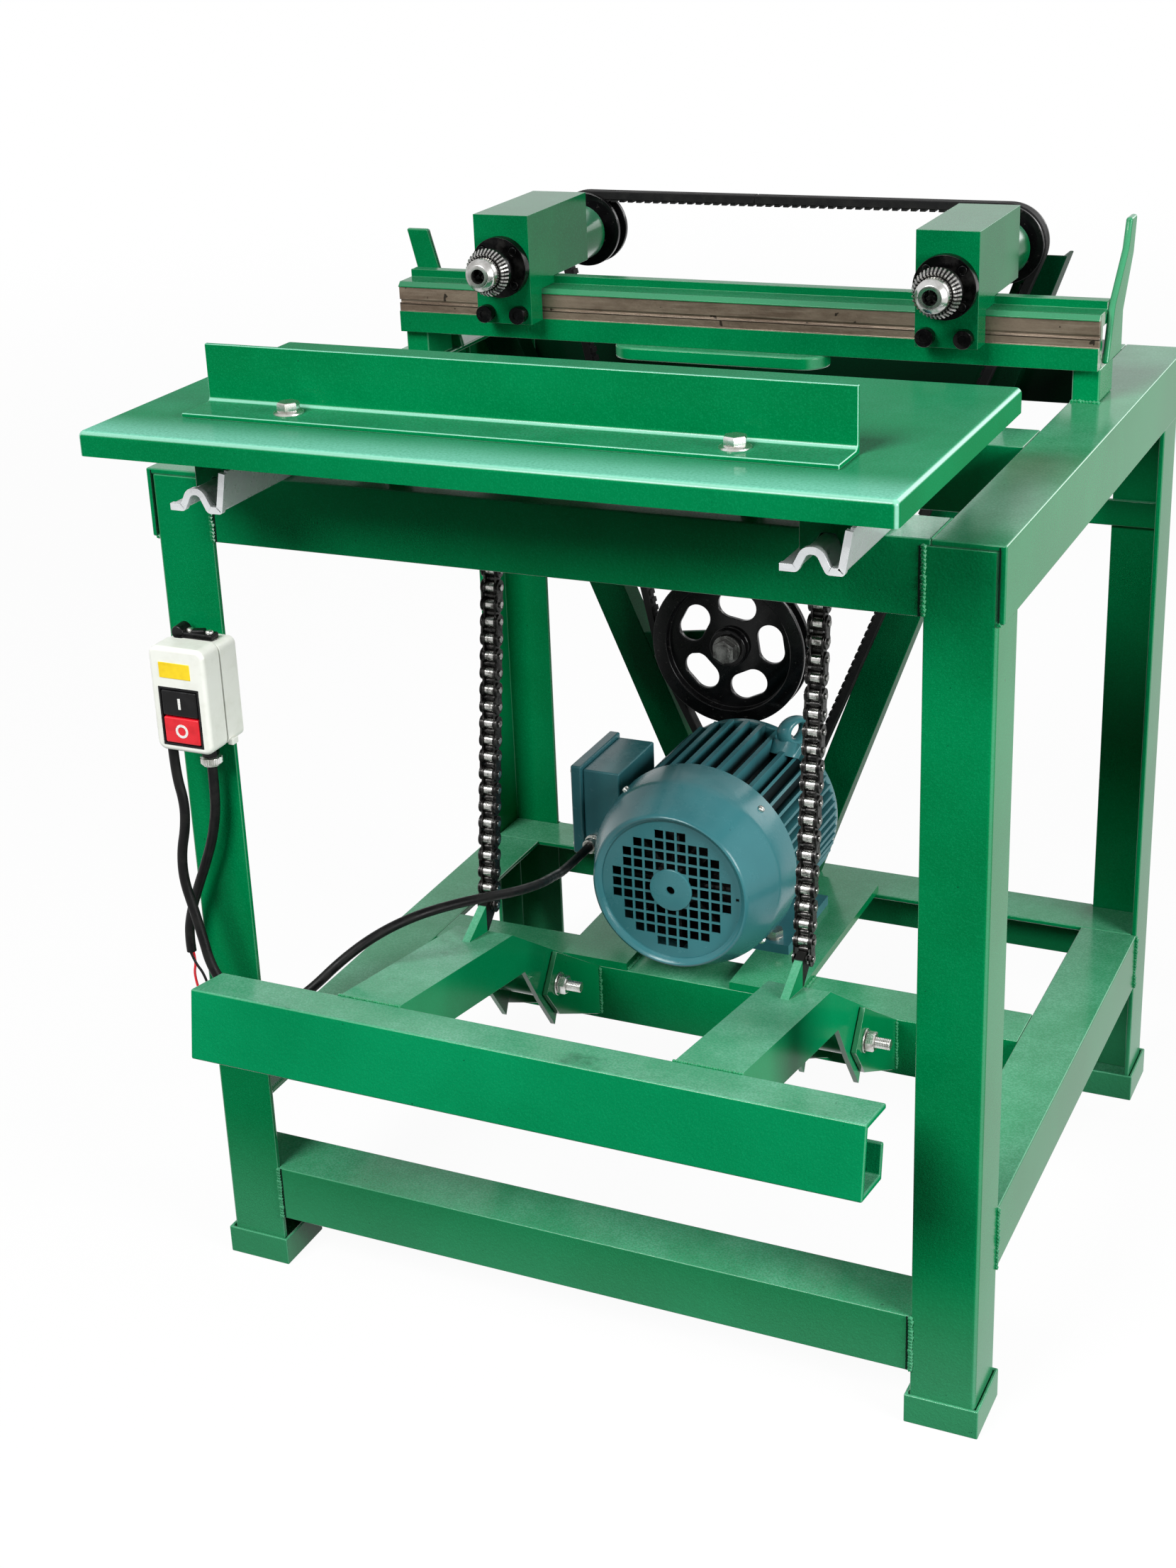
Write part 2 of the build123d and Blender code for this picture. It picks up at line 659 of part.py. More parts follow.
def brace(foot_x, lean, top):
    """A slanted angle iron that stands on the rear lower rail."""
    head = foot_x + lean * (top - low_z)
    face = [(foot_x, low_z), (foot_x + brace_w, low_z), (head + brace_w, top), (head, top)]
    edge = [(foot_x + brace_w - 4, low_z), face[1], face[2], (head + brace_w - 4, top)]
    return prism_y((brace_y, brace_y + 4), face) + prism_y((brace_y, brace_y + brace_d), edge)


save("braces", brace(foot_left, lean_left, stand_h - wall), brace(foot_right, lean_right, brace_top))

drop = 15
stay_z = (idler_z - drop - 12, idler_z - drop + 12)
stay = [
    (foot_left + brace_w + lean_left * (stay_z[0] - low_z), stay_z[0]), (idler_x, idler_z - 12),
    (idler_x, idler_z + 12), (foot_left + brace_w + lean_left * (stay_z[1] - low_z), stay_z[1]),
]
bracket = prism_y((brace_y, brace_y + 6), stay)
bracket += rod_y(idler_x, (brace_y, brace_y + 6), idler_z, 16)
bracket -= rod_y(idler_x, (brace_y, brace_y + 6), idler_z, 8)
save("idler_bracket", bracket)

axle = rod_y(idler_x, (belt_y - rim_w / 2 - 14, brace_y + 18), idler_z, 8)
axle += rod_y(idler_x, (belt_y - rim_w / 2 - 3.5, belt_y - rim_w / 2 - 0.5), idler_z, 15)
axle += hexagon((idler_x, belt_y - rim_w / 2 - 3.5, idler_z), (0, -1, 0), 22, 9)
axle += rod_y(idler_x, (belt_y + rim_w / 2 + 0.5, brace_y), idler_z, 12)
axle += hexagon((idler_x, brace_y + 6, idler_z), (0, 1, 0), 22, 10)
save("pivot_bolts", *pivot_bolts, axle)

# Motor: finned frame, end bell, fan cover, rotor and fan
cover_y = front + motor_front
frame_y = cover_y + cover_l
bell_y = frame_y + frame_l
bell_end = bell_y + bell_l
motor_frame = rod_y(drive_x, (frame_y, bell_y), motor_z, core_r)
for i in range(-top_fin_rows, top_fin_rows + 1):
    fin_x = i * top_fin_pitch
    fin_span = (drive_x + fin_x - top_fin_w / 2, drive_x + fin_x + top_fin_w / 2)
    fin_top = motor_z + sqrt(frame_r ** 2 - fin_x ** 2)
    motor_frame += box(fin_span, (frame_y, bell_y), (motor_z, fin_top))
for side in (-1, 1):
    for i in range(-5, 6):
        fin_z = i * side_fin_pitch
        fin_end = drive_x + side * sqrt(frame_r ** 2 - fin_z ** 2)
        fin_span = (motor_z + fin_z - 1.8, motor_z + fin_z + 1.8)
        motor_frame += box((drive_x, fin_end), (frame_y, bell_y), fin_span)
for side in (-1, 1):
    foot_x = drive_x + side * foot_gauge / 2
    foot_span = (foot_x - 20, foot_x + 20)
    foot_y = (frame_y + 10, bell_y - 8)
    web_x = (foot_x - side * 20, foot_x - side * 11)
    motor_frame += box(foot_span, foot_y, (motor_z - motor_axis_h, motor_z - motor_axis_h + 10))
    motor_frame += box(web_x, foot_y, (motor_z - motor_axis_h, motor_z - 50))
box_x = (drive_x - frame_r - 30, drive_x - frame_r + 10)
box_y = (frame_y + 4, frame_y + 96)
box_z = (motor_z - 11, motor_z + 78)
motor_frame += box((box_x[1], drive_x - 40), (box_y[0] + 16, box_y[1] - 16), (box_z[0] + 20, motor_z + 40))
motor_frame -= box(box_x, box_y, box_z)
motor_frame -= rod_y(drive_x, (frame_y, bell_y), motor_z, core_r - 8)
eye_turn = Pos(drive_x, bell_y - 14, motor_z) * Rot(0, 30, 0)
eye_stud = eye_turn * Pos(0, 0, frame_r - 3) * Cylinder(9, 14)
motor_frame -= eye_stud
for side in (-1, 1):
    for bolt_y in (frame_y + 24, bell_y - 22):
        bolt_x = drive_x + side * foot_gauge / 2
        motor_frame -= rod_z(bolt_x, bolt_y, (motor_z - motor_axis_h, motor_z - motor_axis_h + 10), 5.5)
save("motor_frame", motor_frame)

bell = turned(drive_x, motor_z, [
    (shaft_d / 2 + 0.1, bell_y), (frame_r - 2, bell_y), (frame_r - 2, bell_y + 9), (frame_r - 16, bell_y + 15),
    (44, bell_end - 5), (42, bell_end), (shaft_d / 2 + 0.1, bell_end),
])
save("motor_end_bell", bell)

outer_fin_x = top_fin_rows * top_fin_pitch
fin_corner = hypot(outer_fin_x + top_fin_w / 2, sqrt(frame_r ** 2 - outer_fin_x ** 2))
lip_r = fin_corner + cover_gap
lip_end = frame_y + cover_lip
cover = turned(drive_x, motor_z, [
    (0, cover_y), (66, cover_y), (69, cover_y - 4), (73, cover_y - 2), (76, cover_y + 6), (97, cover_y + 40),
    (101, cover_y + 50), (lip_r + 3.3, lip_end), (lip_r, lip_end), (98.5, cover_y + 51),
    (94.5, cover_y + 42), (73, cover_y + 9), (70, cover_y + 3), (0, cover_y + 3),
])
slot = 8.6
step = 11
for row in range(-5, 6):
    for column in range(-5, 6):
        if 27 < hypot(row * step, column * step) < 58:
            slot_x = drive_x + column * step
            slot_z = motor_z + row * step
            slot_span = (slot_x - slot / 2, slot_x + slot / 2)
            cover -= box(slot_span, (cover_y - 1, cover_y + 4), (slot_z - slot / 2, slot_z + slot / 2))
cover -= rod_y(drive_x, (cover_y - 1, cover_y + 4), motor_z, 5)
save("motor_fan_cover", cover)

lid_x = box_x[0] - 12
shell = box(box_x, box_y, box_z)
shell -= box((box_x[0], box_x[1] - 4), (box_y[0] + 4, box_y[1] - 4), (box_z[0] + 4, box_z[1] - 4))
lid = box((lid_x, box_x[0]), (box_y[0] - 4, box_y[1] + 4), (box_z[0] - 4, box_z[1] + 4))
save("terminal_box", shell, lid)

shaft_end = belt_y + 16
rotor = rod_y(drive_x, (cover_y + 16, shaft_end), motor_z, shaft_d / 2)
rotor += rod_y(drive_x, (frame_y + 16, bell_y - 16), motor_z, 52)
fan = rod_y(drive_x, (cover_y + 20, cover_y + 50), motor_z, 24)
fan += rod_y(drive_x, (cover_y + 44, cover_y + 50), motor_z, 80)
for i in range(8):
    blade = Pos(drive_x, cover_y + 34, motor_z) * Rot(0, 45 * i, 0) * Pos(45, 0, 0) * Box(58, 22, 3)
    fan += blade
save("motor_rotor", rotor, fan - rod_y(drive_x, (cover_y, frame_y), motor_z, shaft_d / 2))

# Motor rails between the middle and rear rails, and the bolts that hold the motor to them
motor_rails = []
motor_bolts = []
for side in (-1, 1):
    bolt_x = drive_x + side * foot_gauge / 2
    rail_z0 = motor_z - motor_axis_h
    rail_mid = drive_x + side * (foot_gauge / 2 + 20)
    rail_span_x = (rail_mid - motor_rail_w / 2, rail_mid + motor_rail_w / 2)
    bar = box(rail_span_x, (mid_y, brace_y - 1), (low_z, rail_z0))
    for bolt_y in (frame_y + 24, bell_y - 22):
        bar -= rod_z(bolt_x, bolt_y, (low_z, rail_z0), 5.5)
        bolt = rod_z(bolt_x, bolt_y, (low_z - 11, rail_z0 + 10), 5)
        bolt += rod_z(bolt_x, bolt_y, (rail_z0 + 10, rail_z0 + 12), 9)
        bolt += hexagon((bolt_x, bolt_y, rail_z0 + 12), (0, 0, 1), 16, 7)
        bolt += hexagon((bolt_x, bolt_y, low_z - 8), (0, 0, 1), 16, 8)
        motor_bolts.append(bolt)
    motor_rails.append(bar)
save("motor_rails", *motor_rails)
eye = eye_stud + eye_turn * Pos(0, 0, frame_r + 16) * Rot(90, 0, 0) * Torus(12, 4)
save("motor_bolts", *motor_bolts, eye)

# Switch: a base on the leg, a cover with two sprung buttons in a sunk panel
switch_x = switch_inset - half_w
switch_left = switch_x - switch_w / 2
switch_right = switch_x + switch_w / 2
base_y = (front - switch_base_d, front)
cover_front = front - switch_base_d - switch_cover_d
switch_base = box((switch_left, switch_right), base_y, (switch_z, switch_z + switch_h))
base_z = (switch_z + 3, switch_z + switch_h - 3)
switch_base -= box((switch_left + 3, switch_right - 3), (base_y[0], front - 3), base_z)
save("switch_base", switch_base)

shell_z = (switch_z - 2, switch_z + switch_h + 2)
switch_cover = box((switch_left - 2, switch_right + 2), (cover_front, base_y[0]), shell_z)
shell_z = (switch_z + 1, switch_z + switch_h - 1)
switch_cover -= box((switch_left + 1, switch_right - 1), (cover_front + 3, base_y[0]), shell_z)
button_x = (switch_x - 19, switch_x + 17)
start_z = (switch_z + 31, switch_z + 55)
stop_z = (switch_z + 6, switch_z + 30.4)
for button_z in (start_z, stop_z):
    switch_cover -= box(button_x, (cover_front, cover_front + 3), button_z)
save("switch_cover", switch_cover)
for name, button_z in (("start_button", start_z), ("stop_button", stop_z)):
    cap_x = (button_x[0] + 0.4, button_x[1] - 0.4)
    cap_z = (button_z[0] + 0.4, button_z[1] - 0.4)
    button = box(cap_x, (cover_front - 1, cover_front + 9), cap_z)
    stem = box((switch_x - 6, switch_x + 4), (cover_front + 9, cover_front + 15), (cap_z[0] + 6, cap_z[1] - 6))
    save(name, button + stem)

# Cable fittings: a gland under the switch, one on the terminal box and a clamp on the switch
gland_x = switch_x + 1.5
gland_y = front - 15
switch_gland = rod_z(gland_x, gland_y, (switch_z - 12, switch_z), 7)
switch_gland += rod_z(gland_x, gland_y, (switch_z - 20, switch_z - 12), 9)
entry_x = box_x[0] + 10
entry_z = box_z[0] + 10
entry_y = box_y[0] - 14
motor_gland = rod_y(entry_x, (entry_y, box_y[0]), entry_z, 7.5)
clamp_x = (switch_left + 8, switch_right - 10)
clamp = box(clamp_x, (front - 20, front - 8), (switch_z + switch_h, switch_z + switch_h + 9))
save("cable_fittings", switch_gland, motor_gland, clamp)


# Cables: straight runs joined by tangent arcs, hung from the switch
def cord(name, points, radius):
    """A round cord along route points."""
    bends = []
    for i in range(1, len(points) - 1):
        before = Vector(*points[i]) - Vector(*points[i - 1])
        after = Vector(*points[i + 1]) - Vector(*points[i])
        half_turn = radians(before.get_angle(after)) / 2
        bends.append(0.45 * min(before.length, after.length) / tan(half_turn))
    path = FilletPolyline(*points, radius=bends)
    start = Plane(origin=points[0], z_dir=path % 0)
    tube = sweep(start * Circle(radius), path=path)
    filled = tube.volume / (pi * radius ** 2 * path.length)
    print(name, "radii", [round(b) for b in bends], "volume ratio", filled)
    return tube


lead_x = switch_left + 7
motor_route = [
    (lead_x, -38, switch_z - 2), (lead_x, -38, switch_z - 29), (lead_x + 5.5, -38, switch_z - 55),
    (lead_x + 3.5, -38, 468), (-348, -38, 443), (-349, -38, 416), (-342, -38, 389), (-335, -39, 362),
    (-328, -41, 335), (-310, -43, 312), (-284, -43, 301), (-256, -40, 306), (-232, -30, 324), (-212, -8, 346),
    (-191, 18, 362), (-168, 46, 371), (-146, 77, 372), (-127, 112, 367), (-118, 150, 356), (-119, 205, 339),
    (entry_x + 18, 262, entry_z + 25), (entry_x, 325, entry_z), (entry_x, motor_front + cover_l - 10, entry_z),
]
supply_route = [
    (gland_x, -15, switch_z - 20), (gland_x, -15, switch_z - 45), (gland_x - 1.5, -15, switch_z - 71),
    (-330, -15, 449), (-340, -15, 423), (-351, -15, 398), (-361, -15, 373), (-367, -15, 349), (-366, -15, 331),
]
red_route = [(-366, -13, 331), (-364, -13, 319), (-368, -13, 306), (-365, -13, 293)]
black_route = [(-366, -17, 331), (-362, -17, 320), (-354, -17, 311), (-351, -17, 300)]


def placed(route):
    """Route points moved from the stand's front face to the shared origin."""
    return [(x, front + y, z) for x, y, z in route]


save("motor_cable", cord("motor cable", placed(motor_route), cable_r))
cores = [cord("core", placed(route), 1.2) for route in (red_route, black_route)]
save("supply_cable", cord("supply cable", placed(supply_route), cable_r), *cores)
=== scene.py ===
from math import atan2, cos, hypot, pi, radians, sin, sqrt
from random import Random

import bmesh
import bpy
from mathutils import Matrix, Vector
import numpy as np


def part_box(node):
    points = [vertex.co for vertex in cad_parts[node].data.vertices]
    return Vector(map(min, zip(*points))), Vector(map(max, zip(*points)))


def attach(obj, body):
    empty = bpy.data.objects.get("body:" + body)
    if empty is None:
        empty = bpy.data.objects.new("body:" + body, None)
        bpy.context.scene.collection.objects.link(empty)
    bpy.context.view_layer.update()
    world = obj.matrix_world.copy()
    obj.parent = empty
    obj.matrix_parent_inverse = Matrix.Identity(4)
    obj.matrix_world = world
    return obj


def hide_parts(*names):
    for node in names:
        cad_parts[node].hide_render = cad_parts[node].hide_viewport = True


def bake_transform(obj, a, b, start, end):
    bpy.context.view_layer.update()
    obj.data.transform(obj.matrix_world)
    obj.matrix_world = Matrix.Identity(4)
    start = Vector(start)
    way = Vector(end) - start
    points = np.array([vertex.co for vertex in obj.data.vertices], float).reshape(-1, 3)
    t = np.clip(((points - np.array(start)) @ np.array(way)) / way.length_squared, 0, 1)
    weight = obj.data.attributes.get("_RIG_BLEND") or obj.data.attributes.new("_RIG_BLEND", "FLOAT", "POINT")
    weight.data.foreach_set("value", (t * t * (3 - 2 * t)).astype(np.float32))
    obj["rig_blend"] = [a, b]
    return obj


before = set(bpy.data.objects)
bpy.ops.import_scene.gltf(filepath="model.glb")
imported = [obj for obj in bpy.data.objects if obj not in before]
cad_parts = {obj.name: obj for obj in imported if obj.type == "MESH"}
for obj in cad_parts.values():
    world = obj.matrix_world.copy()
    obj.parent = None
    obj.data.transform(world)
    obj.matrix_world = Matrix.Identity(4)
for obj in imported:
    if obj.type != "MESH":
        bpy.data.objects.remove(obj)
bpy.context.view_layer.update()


# Stand: four angle-iron legs with their corners outward, rails sawn to length between them, cup feet.
# Hot-rolled steel angle, edges rounded by the rolling mill, welded up and sprayed with green enamel.
# The rear rail faces the belt; its front face there is painted near-black, as painted shade and belt soot.
class Level:
    """A value among some nodes that plain arithmetic can be done on."""

    def __init__(self, nodes, socket):
        self.nodes = nodes
        self.socket = socket

    def math(self, operation, first, second):
        return self.nodes.node("ShaderNodeMath", {"operation": operation}, {0: first, 1: second})

    def __add__(self, other):
        return self.math("ADD", self, other)

    def __radd__(self, other):
        return self.math("ADD", other, self)

    def __sub__(self, other):
        return self.math("SUBTRACT", self, other)

    def __rsub__(self, other):
        return self.math("SUBTRACT", other, self)

    def __mul__(self, other):
        return self.math("MULTIPLY", self, other)

    def __rmul__(self, other):
        return self.math("MULTIPLY", other, self)


class Nodes:
    """The nodes of a finish or of the sky, added one by one."""

    def __init__(self, owner):
        owner.use_nodes = True
        self.tree = owner.node_tree

    def set(self, socket, value):
        """Give a socket a plain value, or link it to another."""
        if isinstance(value, Level):
            self.tree.links.new(value.socket, socket)
        else:
            socket.default_value = value

    def node(self, kind, settings, sockets, output=0):
        """Add a node with its settings and sockets, and give back one of its outputs."""
        made = self.tree.nodes.new(kind)
        for key, value in settings.items():
            setattr(made, key, value)
        for key, value in sockets.items():
            self.set(made.inputs[key], value)
        return Level(self, made.outputs[output])


class Finish(Nodes):
    """A surface finish: one shader and the nodes that feed it."""

    def __init__(self, name, **plain):
        self.material = bpy.data.materials.new(name)
        super().__init__(self.material)
        self.shader = self.tree.nodes["Principled BSDF"]
        for socket, value in plain.items():
            self.feed(socket.replace("_", " "), value)
        self.place = self.node("ShaderNodeTexCoord", {}, {}, "Object")

    def feed(self, name, value):
        """Give one of the shader's sockets a value."""
        self.set(self.shader.inputs[name], value)

    def noise(self, scale, detail=3.0, rough=0.55, place=None):
        """Cloudy noise from 0 to 1, finer with a larger scale."""
        sockets = {"Vector": place or self.place, "Scale": scale, "Detail": detail, "Roughness": rough}
        return self.node("ShaderNodeTexNoise", {}, sockets)

    def between(self, value, low, high):
        """Rises smoothly from 0 at low to 1 at high."""
        settings = {"interpolation_type": "SMOOTHSTEP"}
        return self.node("ShaderNodeMapRange", settings, {"Value": value, "From Min": low, "From Max": high})

    def mix(self, mask, first, second):
        """The first colour where the mask is 0, the second where it is 1."""
        return self.node("ShaderNodeMix", {"data_type": "RGBA"}, {0: mask, 6: first, 7: second}, 2)

    def over(self, mask, colour):
        """Lay a colour over what the finish shows so far, where the mask is 1."""
        shown = Level(self, self.shader.inputs["Base Color"].links[0].from_socket)
        self.feed("Base Color", self.mix(mask, shown, colour))

    def bump(self, height, depth):
        """Fine relief, as deep as the height's range times the depth."""
        self.feed("Normal", self.node("ShaderNodeBump", {}, {"Height": height, "Distance": depth}))

    def along(self, axis):
        """One of the object coordinates as a value."""
        return self.node("ShaderNodeSeparateXYZ", {}, {0: self.place}, axis)

    def stretched(self, x, y, z):
        """Object coordinates drawn out along the axes with a small factor."""
        return self.node("ShaderNodeMapping", {}, {"Vector": self.place, "Scale": (x, y, z)})

    def facing(self, axis):
        """How squarely a face looks along an axis, from -1 to 1."""
        normal = self.node("ShaderNodeTexCoord", {}, {}, "Normal")
        return self.node("ShaderNodeSeparateXYZ", {}, {0: normal}, axis)

    def upward(self):
        """1 on faces that look up, 0 on walls and undersides."""
        return self.between(self.facing("Z"), 0.7, 0.97)

    def rounded(self):
        """1 on rounded-over edges, 0 on faces that are square to the machine."""
        largest = 0.0
        for axis in "XYZ":
            part = self.facing(axis)
            size = part.math("ABSOLUTE", part, 0.0)
            largest = size.math("MAXIMUM", size, largest)
        return 1 - self.between(largest, 0.82, 0.96)


def tone(red, green, blue):
    """A paint colour given in display values from 0 to 255."""
    parts = [part / 255 for part in (red, green, blue)]
    return [part / 12.92 if part < 0.04 else ((part + 0.055) / 1.055) ** 2.4 for part in parts] + [1.0]


def enamel(name, full, thin, pale, gloss, dust_and_sheen, sheen=0.5, edge=0.8):
    """Sprayed enamel: orange peel, uneven cover, painted glints, dust and painted sheen on top, painted light
    low down and shiny rounded edges with a painted highlight.
    """
    paint = Finish(name, Specular_IOR_Level=0.0, Coat_Roughness=0.17, Coat_IOR=1.35)
    top = paint.upward()
    rim = paint.rounded()
    cover = paint.between(paint.noise(6.0), 0.36, 0.66)
    paint.feed("Base Color", paint.mix(cover, full, thin))
    dust = top * (0.5 + 0.5 * paint.between(paint.noise(11.0, 6.0, 0.68), 0.34, 0.74))
    grain = 0.6 + 0.4 * paint.between(paint.noise(560.0, 2.0, 0.6), 0.40, 0.62)
    # The tops are paled: settled dust together with a painted sheen, broken up by a fine grain.
    paint.over(dust * grain * dust_and_sheen, pale)
    # Painted glints: fine lighter green specks, more of them on top faces.
    painted_glint = paint.between(paint.noise(900.0, 1.0, 0.5), 0.50, 0.66)
    paint.over(painted_glint * (0.08 + 0.16 * top), tone(40, 186, 128))
    # Painted light low down: walls near the floor are painted paler.
    painted_light_low_down = (1 - paint.between(paint.along("Z"), 0.03, 0.17)) * (1 - top)
    paint.over(painted_light_low_down * 0.13, pale)
    # Painted highlight: rounded edges are painted paler.
    paint.over(rim * edge * 0.2, pale)
    chip = paint.between(paint.noise(170.0, 2.0, 0.5), 0.765, 0.785)
    paint.over(chip * 0.5, tone(4, 38, 24))
    rub = paint.between(paint.noise(26.0, 6.0, 0.7), 0.56, 0.70)
    paint.feed("Roughness", gloss + 0.10 * rub + 0.10 * dust)
    slant = paint.between(paint.node("ShaderNodeLayerWeight", {}, {"Blend": 0.5}, "Facing"), 0.25, 0.6)
    paint.feed("Coat Weight", 0.07 + 0.4 * sheen * top + edge * rim + sheen * slant)
    paint.bump(paint.noise(430.0, 2.0, 0.5) + 0.8 * paint.noise(150.0, 2.0, 0.5), 0.00026)
    return paint


def solid(node):
    """A copy of a solid's mesh, joined up and with its flat faces made whole."""
    shape = bmesh.new()
    shape.from_mesh(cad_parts[node].data)
    bmesh.ops.remove_doubles(shape, verts=shape.verts, dist=1e-6)
    bmesh.ops.dissolve_limit(shape, angle_limit=radians(0.5), verts=shape.verts, edges=shape.edges)
    return shape


def ease(shape, parts, width, segments, affect="EDGES"):
    """Round over some edges or corners of a shape."""
    bmesh.ops.bevel(shape, geom=parts, offset=width, offset_type="OFFSET", segments=segments, profile=0.5,
                    affect=affect, clamp_overlap=affect == "EDGES", material=-1)


def round_over(shape, width, segments=2, limit=30, where=None):
    """Round the sharp edges of a shape, all of them or those that pass a test."""
    sharp = [edge for edge in shape.edges if edge.is_manifold and edge.calc_face_angle() > radians(limit)]
    if where:
        sharp = [edge for edge in sharp if where(*(vert.co for vert in edge.verts))]
    ease(shape, sharp, width, segments)
    return shape


def placed(name, data):
    """A new object that holds some data, linked into the scene."""
    made = bpy.data.objects.new(name, data)
    bpy.context.scene.collection.objects.link(made)
    return made


def fit(name, shape, body, slot, finish, *nodes):
    """Turn a finished shape into a piece that rides on a body and stands for its solids."""
    mesh = bpy.data.meshes.new(name)
    shape.to_mesh(mesh)
    shape.free()
    mesh.shade_smooth()
    mesh.set_sharp_from_angle(angle=radians(40))
    mesh.materials.append(finish.material)
    piece = placed(name, mesh)
    piece.modifiers.new("flat faces", "WEIGHTED_NORMAL").keep_sharp = True
    if body:
        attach(piece, body)
    if nodes:
        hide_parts(*nodes)
    return piece


def dress(name, node, width, segments, body, slot, finish):
    """Fit a solid's own shape with its sharp edges rounded over."""
    return fit(name, round_over(solid(node), width, segments), body, slot, finish, node)


outer_x = 0.363
front = -0.2515
back = 0.3845
stand_paint = {
    "full": tone(0, 120, 68), "thin": tone(0, 110, 60), "pale": tone(136, 206, 176),
    "gloss": 0.33, "dust_and_sheen": 0.46, "sheen": 0.66,
}
green = enamel("green_enamel", **stand_paint)
for iron, roll in (
    ("top_side_rails", 0.0016), ("front_rails", 0.0014), ("runner_bearer", 0.0014),
    ("low_side_rails", 0.0014), ("mid_rail", 0.0014), ("motor_rails", 0.0012), ("feet", 0.0012),
):
    dress(f"stand_{iron}", iron, roll, 3, "stand", "green_paint", green)

rear_rail_soot_and_shade = enamel("rear_rail_enamel", **stand_paint)
# Painted shade with some belt soot: the rear rail's front faces above 0.66 m are darkened nearly black.
forward = 1 - rear_rail_soot_and_shade.between(rear_rail_soot_and_shade.facing("Y"), -0.7, -0.3)
soot_and_shade_by_belt = forward * rear_rail_soot_and_shade.between(rear_rail_soot_and_shade.along("Z"), 0.60, 0.66)
rear_rail_soot_and_shade.over(soot_and_shade_by_belt * 0.92, tone(2, 16, 10))
dress("stand_rear_rails", "rear_rails", 0.0014, 3, "stand", "green_paint", rear_rail_soot_and_shade)


def outer_corner(start, end):
    """True for the long upright edge on the outside of a leg."""
    far_out = min(abs(start.x), abs(end.x)) > outer_x - 0.001
    at_face = min(abs(start.y - front), abs(start.y - back)) < 0.001
    return far_out and at_face and abs(start.z - end.z) > 0.3


legs = round_over(solid("legs"), 0.0042, 5, 30, outer_corner)
fit("stand_legs", round_over(legs, 0.0013, 2, 50), "stand", "green_paint", green, "legs")

# Weld seams of the stand: short beads where rails butt against legs and plates stand on rails.
# Steel filler laid by hand in overlapping ripples, then sprayed green with the rest.
ripple = 0.0026
dice = Random(11)


def bead(shape, start, end, size=ripple):
    """A row of overlapping weld ripples from one point to another."""
    start = Vector(start)
    end = Vector(end)
    count = max(2, round((end - start).length / (1.25 * size)))
    for i in range(count + 1):
        swell = size * dice.uniform(0.82, 1.18)
        stray = Vector([dice.uniform(-0.12, 0.12) * size for axis in range(3)])
        place = Matrix.Translation(start.lerp(end, i / count) + stray) @ Matrix.Scale(swell, 4)
        bmesh.ops.create_icosphere(shape, subdivisions=1, radius=1.0, matrix=place)


arms_x = (-0.155, 0.155)
lug_reach = 0.0353
lug_back = 0.0783
rail_end = 0.307
mitre_x = 0.312
mitre_z = 0.7797
mid_rail_end = 0.3575
mid_rail_front = 0.0785
pad_front = 0.1585
brace_front = 0.3365
under_rail = 0.7198
on_rail = 0.7802
on_brace_rail = 0.1905
on_mid_rail = 0.1903
top_joint = (0.722, 0.774)
low_joint = (0.132, 0.188)
foot_joint = (0.052, 0.103)
seams = bmesh.new()
for sx, arm_x in zip((-1, 1), arms_x):
    for y, (low, high) in ((front, top_joint), (front, foot_joint), (back, top_joint), (back, low_joint)):
        bead(seams, (sx * rail_end, y, low), (sx * rail_end, y, high))
    for near, far in ((front + 0.002, front + 0.054), (back - 0.054, back - 0.002)):
        bead(seams, (sx * (outer_x + 0.0002), near, under_rail), (sx * (outer_x + 0.0002), far, under_rail))
    for y in (front + 0.056, back - 0.056):
        bead(seams, (sx * outer_x, y, low_joint[0]), (sx * outer_x, y, low_joint[1]))
    bead(seams, (sx * mitre_x, front + 0.003, mitre_z), (sx * mitre_x, front + 0.053, mitre_z), 0.0011)
    bead(seams, (sx * mid_rail_end, mid_rail_front, 0.136), (sx * mid_rail_end, mid_rail_front, 0.184))
    bead(seams, (sx * 0.315, pad_front, on_rail), (sx * 0.337, pad_front, on_rail))
    for lug_x in (arm_x - lug_reach, arm_x + lug_reach):
        bead(seams, (lug_x, lug_back, 0.138), (lug_x, lug_back, 0.186))
for brace_x in (-0.100, -0.023):
    bead(seams, (brace_x, brace_front, on_brace_rail), (brace_x + 0.040, brace_front, on_brace_rail), 0.0025)
for rail_edge in (-0.160, -0.090, 0.020, 0.090):
    bead(seams, (rail_edge, 0.082, on_mid_rail), (rail_edge, 0.130, on_mid_rail))
fit("stand_weld_beads", seams, "stand", "green_paint", green)


# Joint lines of the stand: the narrow gaps beside the welds that the spray did not reach.
# Bare dark steel and primer in a slit, drawn as a thin strip that lies in the joint.
def mottled(name, first, second, scale, low, high, gloss, dulling, grain, depth, detail=3.0, rough=0.55,
            **plain):
    """A finish that goes from one colour to another in patches, with a gloss for each, over a fine grain."""
    finish = Finish(name, **plain)
    patch = finish.between(finish.noise(scale, detail, rough), low, high)
    finish.feed("Base Color", finish.mix(patch, first, second))
    finish.feed("Roughness", gloss + dulling * patch)
    finish.bump(finish.noise(grain), depth)
    return finish


def block(shape, place, size):
    """A plain block round a place, to be worked further."""
    return bmesh.ops.create_cube(shape, size=1.0, matrix=place @ Matrix.Diagonal((*size, 1.0)))["verts"]


